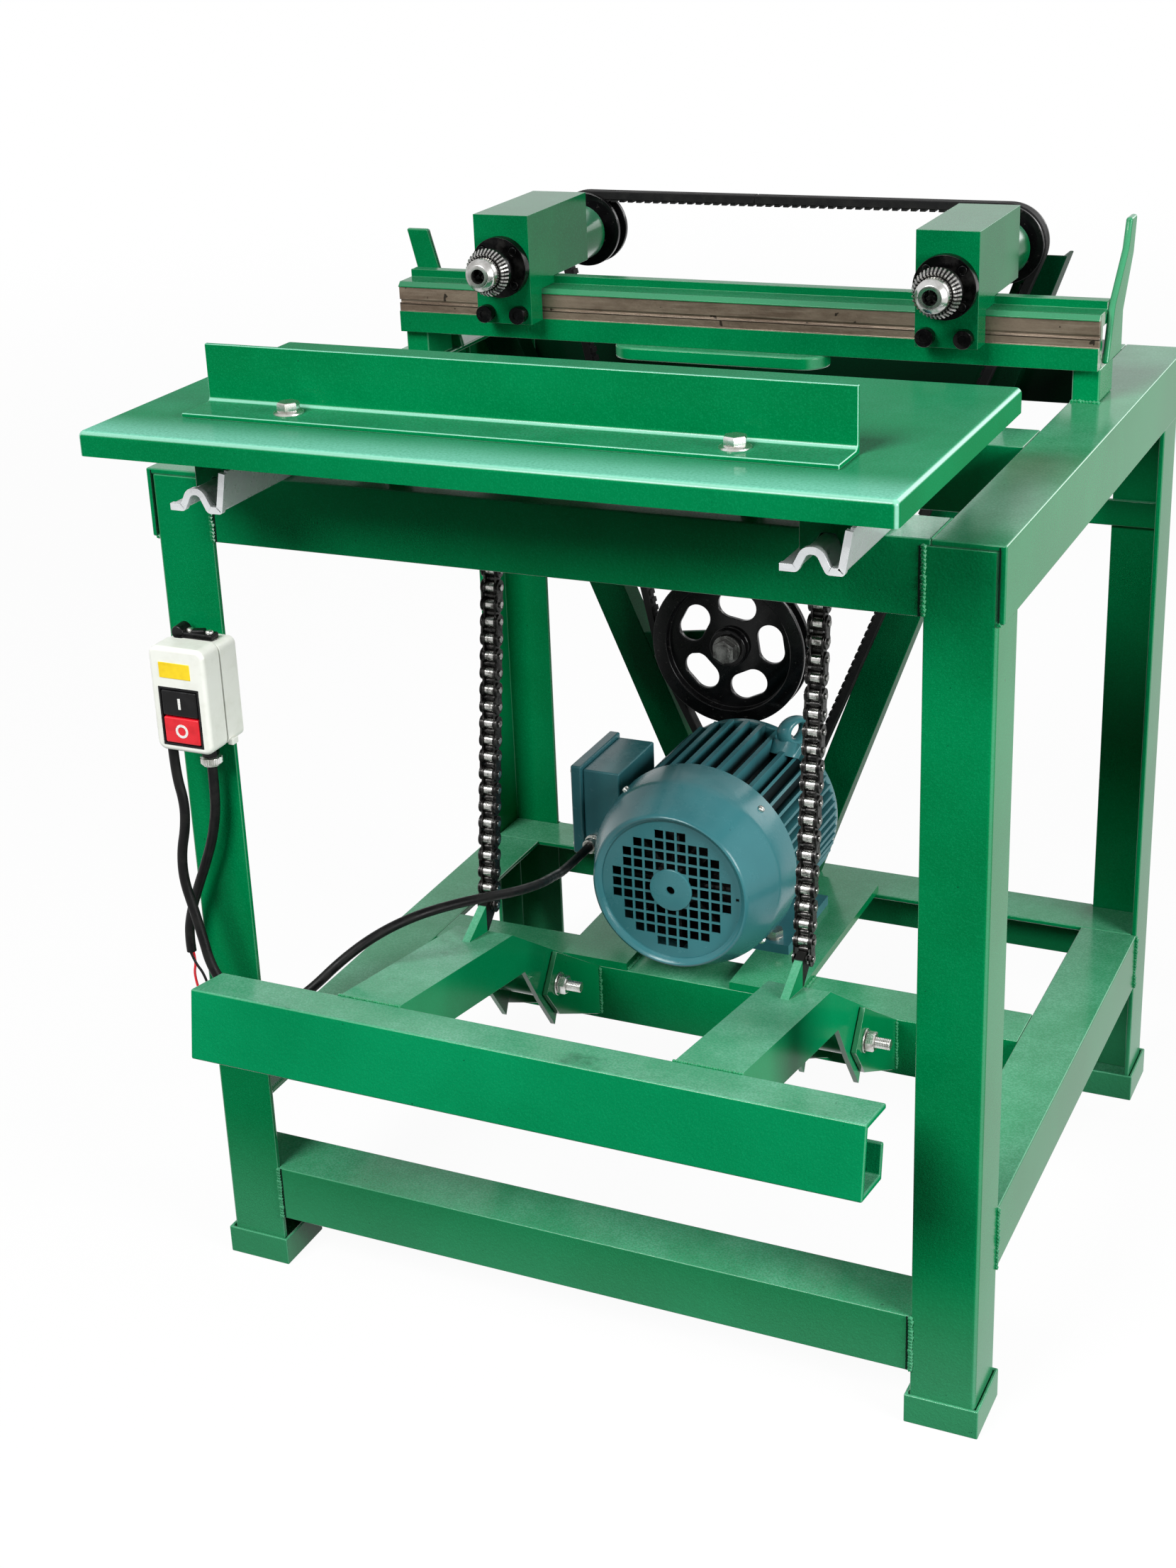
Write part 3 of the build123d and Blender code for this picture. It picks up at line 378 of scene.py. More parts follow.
slit = mottled("joint_slit", tone(0, 22, 12), tone(2, 40, 24), scale=120.0, low=0.4, high=0.7,
               gloss=0.7, dulling=0.2, grain=400.0, depth=0.0001, Specular_IOR_Level=0.1)
slit_x = 0.3040
slit_w = 0.0018
corner_w = 0.0012
slit_t = 0.0005
gaps = bmesh.new()
for sx in (-1, 1):
    for y, low, high in ((front, 0.7205, 0.7745), (front, 0.0510, 0.1045), (back, 0.7205, 0.7745),
                         (back, 0.1305, 0.1895)):
        block(gaps, Matrix.Translation((sx * slit_x, y, (low + high) / 2)), (slit_w, slit_t, high - low))
    for y in (front, back):
        block(gaps, Matrix.Translation((sx * outer_x, y, 0.750)), (corner_w, slit_t, 0.057))
fit("stand_joint_lines", gaps, "stand", "green_paint", slit)

# Slide runners: long strips folded to a raised crest, on which the table's blocks ride.
# Galvanised sheet, folded on a press, fixed to the front rail and the bearer behind it.
zinc = Finish("galvanised_zinc", Metallic=0.55)
flake = zinc.node("ShaderNodeTexVoronoi", {}, {"Vector": zinc.place, "Scale": 140.0}, "Color")
spangle = zinc.node("ShaderNodeRGBToBW", {}, {0: flake})
smear = zinc.between(zinc.noise(24.0, 5.0, 0.6), 0.35, 0.7)
rolled = zinc.noise(420.0, 2.0, 0.6, zinc.stretched(1.0, 0.05, 1.0))
zinc.feed("Base Color", zinc.mix(0.5 * spangle + 0.4 * smear, tone(232, 235, 236), tone(198, 202, 204)))
zinc.feed("Roughness", 0.20 + 0.12 * spangle + 0.10 * smear)
zinc.bump(0.5 * spangle + rolled, 0.00005)


def join(shape, other):
    """Add one shape to another."""
    spare = bpy.data.meshes.new("spare")
    other.to_mesh(spare)
    other.free()
    shape.from_mesh(spare)
    bpy.data.meshes.remove(spare)


def pull(shape, made, way):
    """Move the corners that an extrusion has just made."""
    corners = [part for part in made["geom"] if isinstance(part, bmesh.types.BMVert)]
    bmesh.ops.translate(shape, vec=way, verts=corners)


runner_front = -0.3465
runner_back = 0.0625
runner_low = 0.7800
runner_gauge = 0.003
end_low = 0.7785
end_gauge = 0.0056
runner_folds = [
    (-0.0240, 0.0), (-0.0105, 0.0), (-0.0035, 0.0140), (0.0035, 0.0140), (0.0105, 0.0), (0.0240, 0.0),
    (0.0300, 0.0330),
]


def folded_strip(runner_x, near, far, low, gauge):
    """A strip folded along its length to the runner's section, between two distances from the front."""
    shape = bmesh.new()
    line = [shape.verts.new((runner_x + x, near, low + z)) for x, z in runner_folds]
    edges = [shape.edges.new(pair) for pair in zip(line, line[1:])]
    pull(shape, bmesh.ops.extrude_edge_only(shape, edges=edges), (0.0, far - near, 0.0))
    ease(shape, [edge for edge in shape.edges if edge.is_manifold], 0.0026, 4)
    bmesh.ops.recalc_face_normals(shape, faces=shape.faces)
    if shape.faces[:][0].normal.z > 0:
        bmesh.ops.reverse_faces(shape, faces=shape.faces)
    bmesh.ops.solidify(shape, geom=shape.faces[:], thickness=gauge)
    bmesh.ops.recalc_face_normals(shape, faces=shape.faces)
    lowest = min(vert.co.z for vert in shape.verts)
    bmesh.ops.translate(shape, vec=(0.0, 0.0, low - lowest), verts=shape.verts)
    return shape


runners = bmesh.new()
for runner_x in (-0.255, 0.255):
    join(runners, folded_strip(runner_x, runner_front + 0.0045, runner_back, runner_low, runner_gauge))
    thick_end = folded_strip(runner_x, runner_front, runner_front + 0.0050, end_low, end_gauge)
    join(runners, round_over(thick_end, 0.0012, 3, 50))
fit("slide_runners_folded", runners, "stand", "zinc", zinc, "slide_runners")

# Head rail: a cast channel across the stand with a machined band along its face and a rib on top.
# Grey iron, green where it was sprayed; the planed band is left bare and oiled for the heads to slide on.
band_low = 0.8295
band_high = 0.8535
band_back = 0.1560
rail_end_x = 0.3375
rail_paint = enamel("rail_enamel", tone(0, 112, 62), tone(0, 100, 55), tone(136, 206, 176),
                    gloss=0.34, dust_and_sheen=0.24)
height = rail_paint.along("Z")
planed = rail_paint.between(height, band_low, band_low + 0.0007)
planed = planed * (1 - rail_paint.between(height, band_high - 0.0007, band_high))
planed = planed * (1 - rail_paint.between(rail_paint.along("Y"), band_back - 0.001, band_back))
sawn = rail_paint.between(rail_paint.along("X"), rail_end_x, rail_end_x + 0.0004)
sawn = sawn * rail_paint.between(rail_paint.noise(70.0, 4.0), 0.40, 0.52)
stroke = rail_paint.noise(300.0, 3.0, 0.6, rail_paint.stretched(0.05, 1.0, 1.0))
oil = rail_paint.between(rail_paint.noise(16.0, 6.0, 0.7, rail_paint.stretched(0.6, 1.0, 1.6)), 0.36, 0.66)
bare = rail_paint.mix(oil, tone(130, 116, 101), tone(96, 82, 70))
bare = rail_paint.mix(0.6 * rail_paint.between(stroke, 0.48, 0.78), bare, tone(148, 136, 121))
bare = rail_paint.mix(rail_paint.between(rail_paint.noise(95.0, 2.0), 0.70, 0.73), bare, tone(52, 46, 40))
scribed = rail_paint.between(height, 0.8362, 0.8366) * (1 - rail_paint.between(height, 0.8374, 0.8378))
bare = rail_paint.mix(scribed * 0.85, bare, tone(40, 35, 30))
rail_paint.over(sawn * 0.75, tone(176, 182, 172))
rail_paint.over(planed, bare)
rail_paint.feed("Metallic", 0.55 * planed)
dress("head_rail_cast", "head_rail", 0.0014, 3, "stand", "green_paint", rail_paint)
dress("rail_pads_and_horns", "rail_fittings", 0.0022, 3, "stand", "green_paint", green)

# Braces: two slanted angle irons behind the belt, and the flat stay that carries the idler's axle.
# Sawn steel, welded to the rear rails and sprayed with the stand; their green is painted darker as shade,
# near-black towards the top.
shaded_brace_enamel = enamel("brace_enamel_painted_shade", tone(0, 84, 46), tone(0, 70, 38), tone(70, 120, 96),
                gloss=0.36, dust_and_sheen=0.4, sheen=0.2, edge=0.0)
# Painted shade: a darker copy of the stand's green, nearly black above 0.62 m.
shaded_brace_enamel.over(shaded_brace_enamel.between(shaded_brace_enamel.along("Z"), 0.62, 0.74) * 0.75, tone(2, 16, 10))
dress("slanted_braces", "braces", 0.0012, 3, "stand", "green_paint", shaded_brace_enamel)
dress("idler_stay", "idler_bracket", 0.0010, 2, "stand", "green_paint", shaded_brace_enamel)

# Treadle lugs and sprocket hangers: flame-cut plates welded to the rails.
# Steel plate with the torch's rounded edge, painted green with the stand.
dress("treadle_lug_plates", "treadle_lugs", 0.0010, 2, "stand", "green_paint", green)
dress("sprocket_hanger_plates", "sprocket_hangers", 0.0010, 2, "stand", "green_paint", green)

# Pivot bolts and idler axle: hexagon bolts with nuts, washers and a few turns of thread that show.
# Zinc-plated steel, turned and cold-headed, a little dulled by handling; the axle is plain oiled steel.
plated = mottled("plated_steel", tone(224, 225, 222), tone(170, 168, 160), scale=70.0, detail=5.0, rough=0.65,
                 low=0.35, high=0.7, gloss=0.16, dulling=0.2, grain=500.0, depth=0.00004, Metallic=0.95)
axle_steel = mottled("oiled_axle_steel", tone(126, 126, 124), tone(70, 69, 67), scale=90.0, detail=5.0,
                     rough=0.65, low=0.38, high=0.66, gloss=0.24, dulling=0.2, grain=500.0, depth=0.00005,
                     Metallic=0.9)


def turned(outline, foot, axis, steps=40):
    """A body turned about an axis from a closed outline of (radius, distance along the axis) points."""
    shape = bmesh.new()
    axis = Vector(axis).normalized()
    side = axis.orthogonal().normalized()
    verts = [shape.verts.new(Vector(foot) + side * radius + axis * along) for radius, along in outline]
    edges = [shape.edges.new((verts[i - 1], verts[i])) for i in range(len(verts))]
    bmesh.ops.spin(shape, geom=verts + edges, cent=foot, axis=axis, angle=2 * pi, steps=steps, use_merge=True)
    bmesh.ops.remove_doubles(shape, verts=shape.verts, dist=1e-6)
    bmesh.ops.dissolve_degenerate(shape, edges=shape.edges, dist=1e-7)
    bmesh.ops.recalc_face_normals(shape, faces=shape.faces)
    return shape


def only(shape, keep):
    """Leave just the loose bodies of a shape whose box passes a test."""
    waiting = set(shape.verts)
    dropped = []
    while waiting:
        body = [waiting.pop()]
        for vert in body:
            near = {edge.other_vert(vert) for edge in vert.link_edges} & waiting
            waiting -= near
            body.extend(near)
        low = Vector([min(vert.co[axis] for vert in body) for axis in range(3)])
        high = Vector([max(vert.co[axis] for vert in body) for axis in range(3)])
        if not keep(low, high):
            dropped.extend(body)
    bmesh.ops.delete(shape, geom=dropped, context="VERTS")
    return shape


axle = only(solid("pivot_bolts"), lambda low, high: low.y > 0.2)
fit("idler_axle", round_over(axle, 0.0007), "stand", "bare_steel", axle_steel)
pivot = (-0.0165, 0.218)
lug_half = 0.0350
washer_t = 0.0018
thread = 0.0016
hex_nut = [(0.0, 0.0), (0.0086, 0.0), (0.0098, 0.0009), (0.0098, 0.0076), (0.0086, 0.0085), (0.0, 0.0085)]
washer = [
    (0.0, 0.0), (0.0112, 0.0), (0.0115, 0.0003), (0.0115, 0.0015), (0.0112, washer_t), (0.0, washer_t),
]
ridge = [(0.0, 0.0), (0.0044, 0.0), (0.0052, 0.0007), (0.0052, 0.0009), (0.0044, thread), (0.0, thread)]
pins = bmesh.new()
for arm_x in arms_x:
    for way in (-1, 1):
        face_x = arm_x + way * lug_half
        join(pins, turned(washer, (face_x, *pivot), (way, 0, 0), 36))
        join(pins, turned(hex_nut, (face_x + way * washer_t, *pivot), (way, 0, 0), 6))
    for turn_no in range(9):
        root = arm_x + lug_half + 0.0100 + thread * turn_no
        join(pins, turned(ridge, (root, *pivot), (1, 0, 0), 20))
fit("treadle_pivot_bolts", pins, "stand", "bare_steel", plated, "pivot_bolts")

# Treadle: a folded foot bar across the front on two channel arms.
# Pressed sheet steel, welded arm to bar; the green is painted lighter as a sheen, and is dusty and scuffed
# where the foot presses.
# Painted light: the treadle's green is a lighter copy of the stand's.
trodden = enamel("trodden_enamel", tone(4, 134, 82), tone(2, 124, 74), tone(150, 210, 186),
                 gloss=0.34, dust_and_sheen=0.60, sheen=0.35)
stain = trodden.between(trodden.noise(9.0, 6.0, 0.7), 0.58, 0.70)
trodden.over(stain * trodden.upward() * 0.45, tone(6, 70, 44))
ruts = trodden.between(trodden.noise(38.0, 6.0, 0.72, trodden.stretched(0.5, 1.0, 1.0)), 0.60, 0.72)
trodden.over(ruts * trodden.upward() * 0.25, tone(120, 166, 138))
chain_tab = trodden.between(trodden.along("Y"), -0.0985, -0.0970)
trodden.over(chain_tab * trodden.between(trodden.along("Z"), 0.3076, 0.3082), tone(24, 24, 23))
dress("treadle_foot_bar", "treadle_bar", 0.0018, 3, "treadle", "green_paint", trodden)
dress("treadle_channel_arms", "treadle_arms", 0.0012, 3, "treadle", "green_paint", trodden)
arm_half = 0.029
bar_back = -0.3118
toes = bmesh.new()
for arm_x in arms_x:
    bead(toes, (arm_x - arm_half, bar_back, 0.3436), (arm_x + arm_half, bar_back, 0.3436), 0.0017)
    for cheek_x in (arm_x - 0.0293, arm_x + 0.0293):
        bead(toes, (cheek_x, -0.3120, 0.3425), (cheek_x, -0.3190, 0.3000), 0.0019)
fit("treadle_weld_beads", toes, "treadle", "green_paint", green)

# Chains: two roller chains from the treadle up over the sprockets to hooks under the table.
# Oiled steel: blued side plates, with rollers and pin heads polished bright by running.
pitch = 0.015875
roller_r = 0.0052
roller_w = 0.0092
pin_r = 0.0030
pin_head_w = 0.0012
pin_reach = 0.0095
bush_r = 0.0034
bush_w = 0.0090
lean = radians(8)
links_up = 27
links_level = 9
wheel_mid = Vector((0.0, -0.05468, 0.7586))
wheel_r = 0.03067
chain_foot = Vector((0.0, -0.08396, 0.32988))
chain_top = Vector((0.0, -0.0243, 0.7543))
level_start = (0.0, -0.0547, 0.7890)
level_end = (0.0, -0.1933, 0.7890)
treadle_pivot = Vector((0.0, *pivot))
full_press = radians(28)
oily = mottled("oiled_chain_steel", tone(52, 51, 50), tone(16, 15, 15), scale=160.0, detail=4.0, rough=0.6,
               low=0.4, high=0.62, gloss=0.24, dulling=0.2, grain=420.0, depth=0.00008, Metallic=0.85)
polished = mottled("polished_rollers", tone(188, 187, 184), tone(84, 82, 79), scale=210.0, detail=4.0,
                   rough=0.6, low=0.44, high=0.7, gloss=0.20, dulling=0.22, grain=600.0, depth=0.00004,
                   Metallic=1.0)


def barrel(shape, middle, radius, length, segments):
    """A short cylinder that lies across the machine."""
    place = Matrix.Translation(middle) @ Matrix.Rotation(pi / 2, 4, "Y")
    bmesh.ops.create_cone(shape, cap_ends=True, segments=segments, radius1=radius, radius2=radius,
                          depth=length, matrix=place)


def rollers(chain_pins, x):
    """A bright roller and two pin heads at each pin of a chain."""
    shape = bmesh.new()
    for pin in chain_pins:
        barrel(shape, pin + Vector((x, 0.0, 0.0)), roller_r, roller_w, 14)
        for head_x in (x - pin_reach, x + pin_reach):
            barrel(shape, pin + Vector((head_x, 0.0, 0.0)), pin_r, pin_head_w, 14)
    return shape


def bearing(foot, distance):
    """Angle round the treadle's pivot of the spot at a distance from it on a straight run up from foot."""
    run = (chain_top - foot).normalized()
    nearest = foot - treadle_pivot - run * (foot - treadle_pivot).dot(run)
    point = nearest + run * sqrt(distance ** 2 - nearest.length_squared)
    return atan2(point.z, point.y)


def keep_taut(run, x):
    """Hang a rising run between stand and treadle, with the turn shared out so that it stays straight."""
    across = Vector((x, 0.0, 0.0))
    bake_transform(run, "stand", "treadle", start=chain_top + across, end=chain_foot + across)
    pressed = treadle_pivot + Matrix.Rotation(full_press, 3, "X") @ (chain_foot - treadle_pivot)
    nearest = (chain_foot - treadle_pivot).length
    farthest = (chain_top - treadle_pivot).length
    for vert, share in zip(run.data.vertices, run.data.attributes["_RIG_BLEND"].data):
        distance = hypot(vert.co.y - treadle_pivot.y, vert.co.z - treadle_pivot.z)
        distance = min(max(distance, nearest), farthest)
        share.value = (bearing(pressed, distance) - bearing(chain_foot, distance)) / full_press


climb = Vector((0.0, sin(lean), cos(lean))) * pitch
rising = [chain_foot + climb * i for i in range(links_up + 1)]
passing = []
for i in range(1, 4):
    turn = i * pi / 6 - lean
    passing.append(wheel_mid + Vector((0.0, cos(turn), sin(turn))) * wheel_r)
passing += [passing[-1] - Vector((0.0, pitch * i, 0.0)) for i in range(1, links_level + 1)]
for side, x in zip(("left", "right"), arms_x):
    plates = round_over(solid(f"chain_{side}"), 0.0003, 1)
    for pin in rising[1:]:
        barrel(plates, pin - climb / 2 + Vector((x, 0.0010, 0.0)), bush_r, bush_w, 10)
    keep_taut(fit(f"chain_run_{side}", plates, None, "chain_steel", oily, f"chain_{side}"), x)
    keep_taut(fit(f"chain_rollers_{side}", rollers(rising, x), None, "bare_steel", polished), x)
    bright = fit(f"chain_rollers_over_{side}", rollers(passing, x), None, "bare_steel", polished)
    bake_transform(bright, "stand", "table", start=level_start, end=level_end)
tops = dress("chain_runs_over", "chain_tops", 0.0003, 1, None, "chain_steel", oily)
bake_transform(tops, "stand", "table", start=level_start, end=level_end)
dress("sprockets_on_shaft", "sprocket_shaft", 0.0004, 1, "sprocket_set", "chain_steel", oily)

# Motor: a finned frame on two feet, an end bell, a terminal box and a lifting lug.
# Cast aluminium sprayed with teal enamel after assembly, bolted down with plated bolts.
drive_x = -0.035
drive_z = 0.294
teal = Finish("teal_enamel", Specular_IOR_Level=0.25, Coat_Weight=0.3, Coat_IOR=1.3, Coat_Roughness=0.14)
cover = teal.between(teal.noise(8.0), 0.36, 0.66)
teal.feed("Base Color", teal.mix(cover, tone(58, 119, 125), tone(49, 105, 111)))
dust = teal.upward() * teal.between(teal.noise(13.0, 6.0, 0.68), 0.36, 0.74)
teal.over(dust * 0.10, tone(150, 176, 176))
# Painted shade: the terminal box side, left of the motor, is darkened.
painted_shade_left = 1 - teal.between(teal.along("X"), -0.152, -0.136)
teal.over(painted_shade_left * 0.4, tone(14, 48, 58))
pit = teal.between(teal.noise(190.0, 2.0), 0.735, 0.76)
teal.over(pit * 0.5, tone(20, 44, 50))
teal.feed("Roughness", 0.24 + 0.10 * teal.between(teal.noise(28.0, 6.0, 0.7), 0.5, 0.7) + 0.08 * dust)
teal.bump(teal.noise(380.0, 2.0) + 0.6 * teal.noise(120.0, 2.0), 0.00010)
cast_teal = Finish("finned_teal_enamel", Specular_IOR_Level=0.18)
off_x = cast_teal.along("X") - drive_x
off_z = cast_teal.along("Z") - drive_z
from_axis = off_x.math("SQRT", off_x * off_x + off_z * off_z, 0.0)
# Painted shade between the fins: near-black close to the frame's body on its upper part, and rougher there.
painted_shade_at_fin_roots = 1 - cast_teal.between(from_axis + 0.004 * cast_teal.noise(40.0, 4.0), 0.0865, 0.0985)
painted_shade_at_fin_roots = painted_shade_at_fin_roots * cast_teal.between(cast_teal.along("Z"), drive_z - 0.060, drive_z - 0.020)
cast_cover = cast_teal.between(cast_teal.noise(8.0), 0.36, 0.66)
cast_teal.feed("Base Color", cast_teal.mix(cast_cover, tone(56, 116, 122), tone(46, 100, 107)))
cast_teal.over(painted_shade_at_fin_roots * 0.94, tone(8, 22, 25))
cast_teal.feed("Roughness", 0.30 + 0.12 * cast_cover + 0.3 * painted_shade_at_fin_roots)
cast_teal.bump(cast_teal.noise(300.0) + 0.8 * cast_teal.noise(90.0, 2.0), 0.00016)
ribbed = round_over(solid("motor_frame"), 0.0009)
rib_front = 0.1300
rib_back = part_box("motor_frame")[1][1] - 0.004
rib_size = (0.0042, rib_back - rib_front, 0.0232)
for angle in (34, 42, 50, 130, 138, 146):
    rib = block(ribbed, Matrix.Translation((0.0, (rib_front + rib_back) / 2, 0.0856)), rib_size)
    tip = [vert for vert in rib if vert.co.z > 0.09]
    bmesh.ops.scale(ribbed, vec=(0.7, 1.0, 1.0), verts=tip)
    place = Matrix.Translation((drive_x, 0.0, drive_z)) @ Matrix.Rotation(radians(90 - angle), 4, "Y")
    bmesh.ops.transform(ribbed, matrix=place, verts=rib)
fit("motor_finned_frame", ribbed, "stand", "teal_paint", cast_teal, "motor_frame")
dress("motor_bell", "motor_end_bell", 0.0016, 3, "stand", "teal_paint", teal)
dress("motor_terminal_box", "terminal_box", 0.0030, 4, "stand", "teal_paint", teal)
bolts = only(solid("motor_bolts"), lambda low, high: high.z < 0.30)
fit("motor_foot_bolts", round_over(bolts, 0.0007), "stand", "zinc", plated, "motor_bolts")
lug = only(solid("motor_bolts"), lambda low, high: high.z > 0.30)
middle = sum((vert.co for vert in lug.verts), Vector()) / len(lug.verts)
bmesh.ops.rotate(lug, cent=middle, matrix=Matrix.Rotation(radians(72), 3, "Z"), verts=lug.verts)
bmesh.ops.scale(lug, vec=(1.9, 1.15, 1.0), space=Matrix.Translation(-middle), verts=lug.verts)
fit("motor_lifting_lug", lug, "stand", "teal_paint", teal)
pan_head = [
    (0.0, -0.002), (0.0036, -0.002), (0.0036, 0.0010), (0.0030, 0.0020), (0.0014, 0.0026), (0.0, 0.0026),
]
box_lid_x = -0.174
cowl_screw_y = 0.1285
cowl_screw_r = 0.1012
lid_screws = bmesh.new()
for screw_y in (0.150, 0.235):
    for screw_z in (0.287, 0.368):
        join(lid_screws, turned(pan_head, (box_lid_x, screw_y, screw_z), (-1, 0, 0), 20))
for turn_no in range(4):
    turn = radians(45 + 90 * turn_no)
    outward = Vector((cos(turn), 0.0, sin(turn)))
    foot = Vector((drive_x, cowl_screw_y, drive_z)) + outward * cowl_screw_r
    join(lid_screws, turned(pan_head, foot, outward, 20))
fit("motor_cover_screws", lid_screws, "stand", "zinc", plated)

# Fan cover: a pressed cone over the fan, with a rolled rim and a square-holed front plate.
# Deep-drawn sheet steel, punched, sprayed teal and slipped over the end of the frame.
cowl_nose = (drive_x, 0.0665, drive_z)
cell = 0.0115
hole = 0.0094
drilled_hole = 0.0034
plate_r = 0.0763
plate_sides = 48
cowl_outline = [
    (0.0733, 0.0005), (0.0750, -0.0012), (0.0768, -0.0034), (0.0786, -0.0040), (0.0804, -0.0032),
    (0.0818, -0.0008), (0.0838, 0.0050), (0.0972, 0.0360), (0.0984, 0.0392), (0.0994, 0.0440),
    (0.1010, 0.0600), (0.1019, 0.0790), (0.0988, 0.0790), (0.0980, 0.0600), (0.0962, 0.0440),
    (0.0944, 0.0380), (0.0812, 0.0080), (0.0790, 0.0020), (0.0778, 0.0006), (0.0750, 0.0030),
    (0.0733, 0.0030),
]
cowl = turned(cowl_outline, cowl_nose, (0, 1, 0), 96)


def from_middle(face, x=0.0):
    """How far a face of the front plate lies from the plate's middle, or from a point beside it."""
    return (face.calc_center_median().xy - Vector((x, 0.0))).length


def punch(shape, faces, opening):
    """Leave a square opening in each of some cells of the front plate."""
    bmesh.ops.inset_individual(shape, faces=faces, thickness=(cell - opening) / 2, use_even_offset=True)
    bmesh.ops.delete(shape, geom=faces, context="FACES_ONLY")


plate = bmesh.new()
bmesh.ops.create_grid(plate, x_segments=15, y_segments=15, size=7.5 * cell)
centre = [face for face in plate.faces if from_middle(face) < 0.004]
bmesh.ops.delete(plate, geom=centre, context="FACES_ONLY")
punch(plate, [face for face in plate.faces if 0.020 < from_middle(face) < 0.0600], hole)
punch(plate, [min(plate.faces, key=lambda face: from_middle(face, 6 * cell))], drilled_hole)
for turn_no in range(plate_sides):
    turn = 2 * pi * turn_no / plate_sides
    edge = Vector((cos(turn), sin(turn), 0.0))
    bmesh.ops.bisect_plane(plate, geom=plate.verts[:] + plate.edges[:] + plate.faces[:],
                           plane_co=edge * plate_r, plane_no=edge, clear_outer=True)
bmesh.ops.solidify(plate, geom=plate.faces[:], thickness=0.0015)
bmesh.ops.recalc_face_normals(plate, faces=plate.faces)
stand_up = Matrix.Translation((0.0, 0.0022, 0.0)) @ Matrix.Rotation(pi / 2, 4, "X")
bmesh.ops.transform(plate, matrix=Matrix.Translation(cowl_nose) @ stand_up, verts=plate.verts)
join(cowl, plate)
eye = [(0.0045, -0.0003), (0.0208, -0.0003), (0.0218, 0.0005), (0.0218, 0.0026), (0.0045, 0.0026)]
join(cowl, turned(eye, cowl_nose, (0, 1, 0), 56))
fit("motor_cowl", cowl, "stand", "teal_paint", teal, "motor_fan_cover")

# Rotor, fan and motor wheel: the turning parts inside the motor and the grooved wheel on its shaft.
# Moulded fan on a steel shaft; the wheel is cast iron, turned and painted gloss black.
gloss_black = Finish("gloss_black_iron", Specular_IOR_Level=0.08, Coat_Roughness=0.10, Coat_IOR=1.3)
rub = gloss_black.between(gloss_black.noise(26.0, 5.0, 0.65), 0.42, 0.68)
gloss_black.feed("Base Color", gloss_black.mix(rub, tone(9, 9, 10), tone(17, 17, 18)))
lint = gloss_black.between(gloss_black.noise(240.0, 3.0, 0.6), 0.62, 0.72)
gloss_black.over(lint * 0.25, tone(96, 94, 90))
gloss_black.feed("Roughness", 0.20 + 0.16 * rub)
gloss_black.feed("Coat Weight", 0.60 - 0.35 * rub)
gloss_black.bump(gloss_black.noise(220.0, 2.0), 0.00008)
dress("motor_rotor_and_fan", "motor_rotor", 0.0005, 2, "rotor", "black_plastic", gloss_black)
dress("motor_belt_wheel", "motor_pulley", 0.0008, 2, "rotor", "black_iron", gloss_black)

# Idler wheel: a wide belt wheel with five oval lightening holes, which spreads the belt's left run.
# Cast iron, turned on the rim and painted gloss black.
dress("idler_wheel", "idler_pulley", 0.0012, 3, "idler", "black_iron", gloss_black)

# Boring heads: a casting on the rail with a bearing cap, a spindle, a keyed drill chuck and a belt wheel.
# Grey iron in green enamel, rough as cast; the cap and screws are blackened, the chuck is turned steel
# with a geared ring round it for the key.
# Painted shade: the castings' green is a darker copy of the stand's.
cast = enamel("cast_enamel", tone(0, 104, 58), tone(0, 88, 48), tone(140, 206, 180),
              gloss=0.30, dust_and_sheen=0.20, sheen=0.55)
cast.bump(cast.noise(260.0, 4.0, 0.65) + 2.2 * cast.noise(46.0), 0.00045)
blackened = mottled("blackened_steel", tone(13, 13, 14), tone(38, 37, 36), scale=60.0, detail=5.0, rough=0.65,
                    low=0.44, high=0.68, gloss=0.24, dulling=0.16, grain=420.0, depth=0.00008,
                    Metallic=0.8, Specular_IOR_Level=0.25)
steel = Finish("turned_steel", Metallic=1.0)
dull = steel.between(steel.noise(48.0, 5.0, 0.65), 0.36, 0.68)
rings = steel.noise(900.0, 1.0, 0.5, steel.stretched(0.04, 1.0, 0.04))
steel.feed("Base Color", steel.mix(dull, tone(206, 206, 204), tone(150, 148, 144)))
steel.feed("Roughness", 0.17 + 0.18 * dull)
steel.bump(rings, 0.00004)
gear = mottled("chuck_gear_steel", tone(178, 177, 174), tone(132, 131, 128), scale=120.0, rough=0.6,
               low=0.40, high=0.66, gloss=0.20, dulling=0.14, grain=500.0, depth=0.00004, Metallic=0.95)
heads = (("left", -0.212), ("right", 0.212))
spindle_z = 0.883
nose_y = 0.0735
clamp_y = 0.1155
clamp_z = 0.839
clamp_reach = 0.017
teeth = 36
collar_outline = [
    (0.0040, -0.0012), (0.0078, -0.0012), (0.0082, -0.0006), (0.0082, 0.0070), (0.0040, 0.0070),
]
chuck_outline = [
    (0.0068, 0.0), (0.0100, 0.0), (0.0107, 0.0004), (0.0128, 0.0024), (0.0138, 0.0034), (0.0146, 0.0044),
    (0.0150, 0.0060), (0.0154, 0.0120), (0.0154, 0.0330), (0.0148, 0.0370), (0.0060, 0.0370),
    (0.0060, 0.0230), (0.0068, 0.0230),
]
sleeve_outline = [
    (0.0157, 0.0146), (0.0178, 0.0136), (0.0196, 0.0158), (0.0206, 0.0195), (0.0210, 0.0210),
    (0.0210, 0.0265), (0.0204, 0.0295), (0.0195, 0.0325), (0.0157, 0.0328),
]
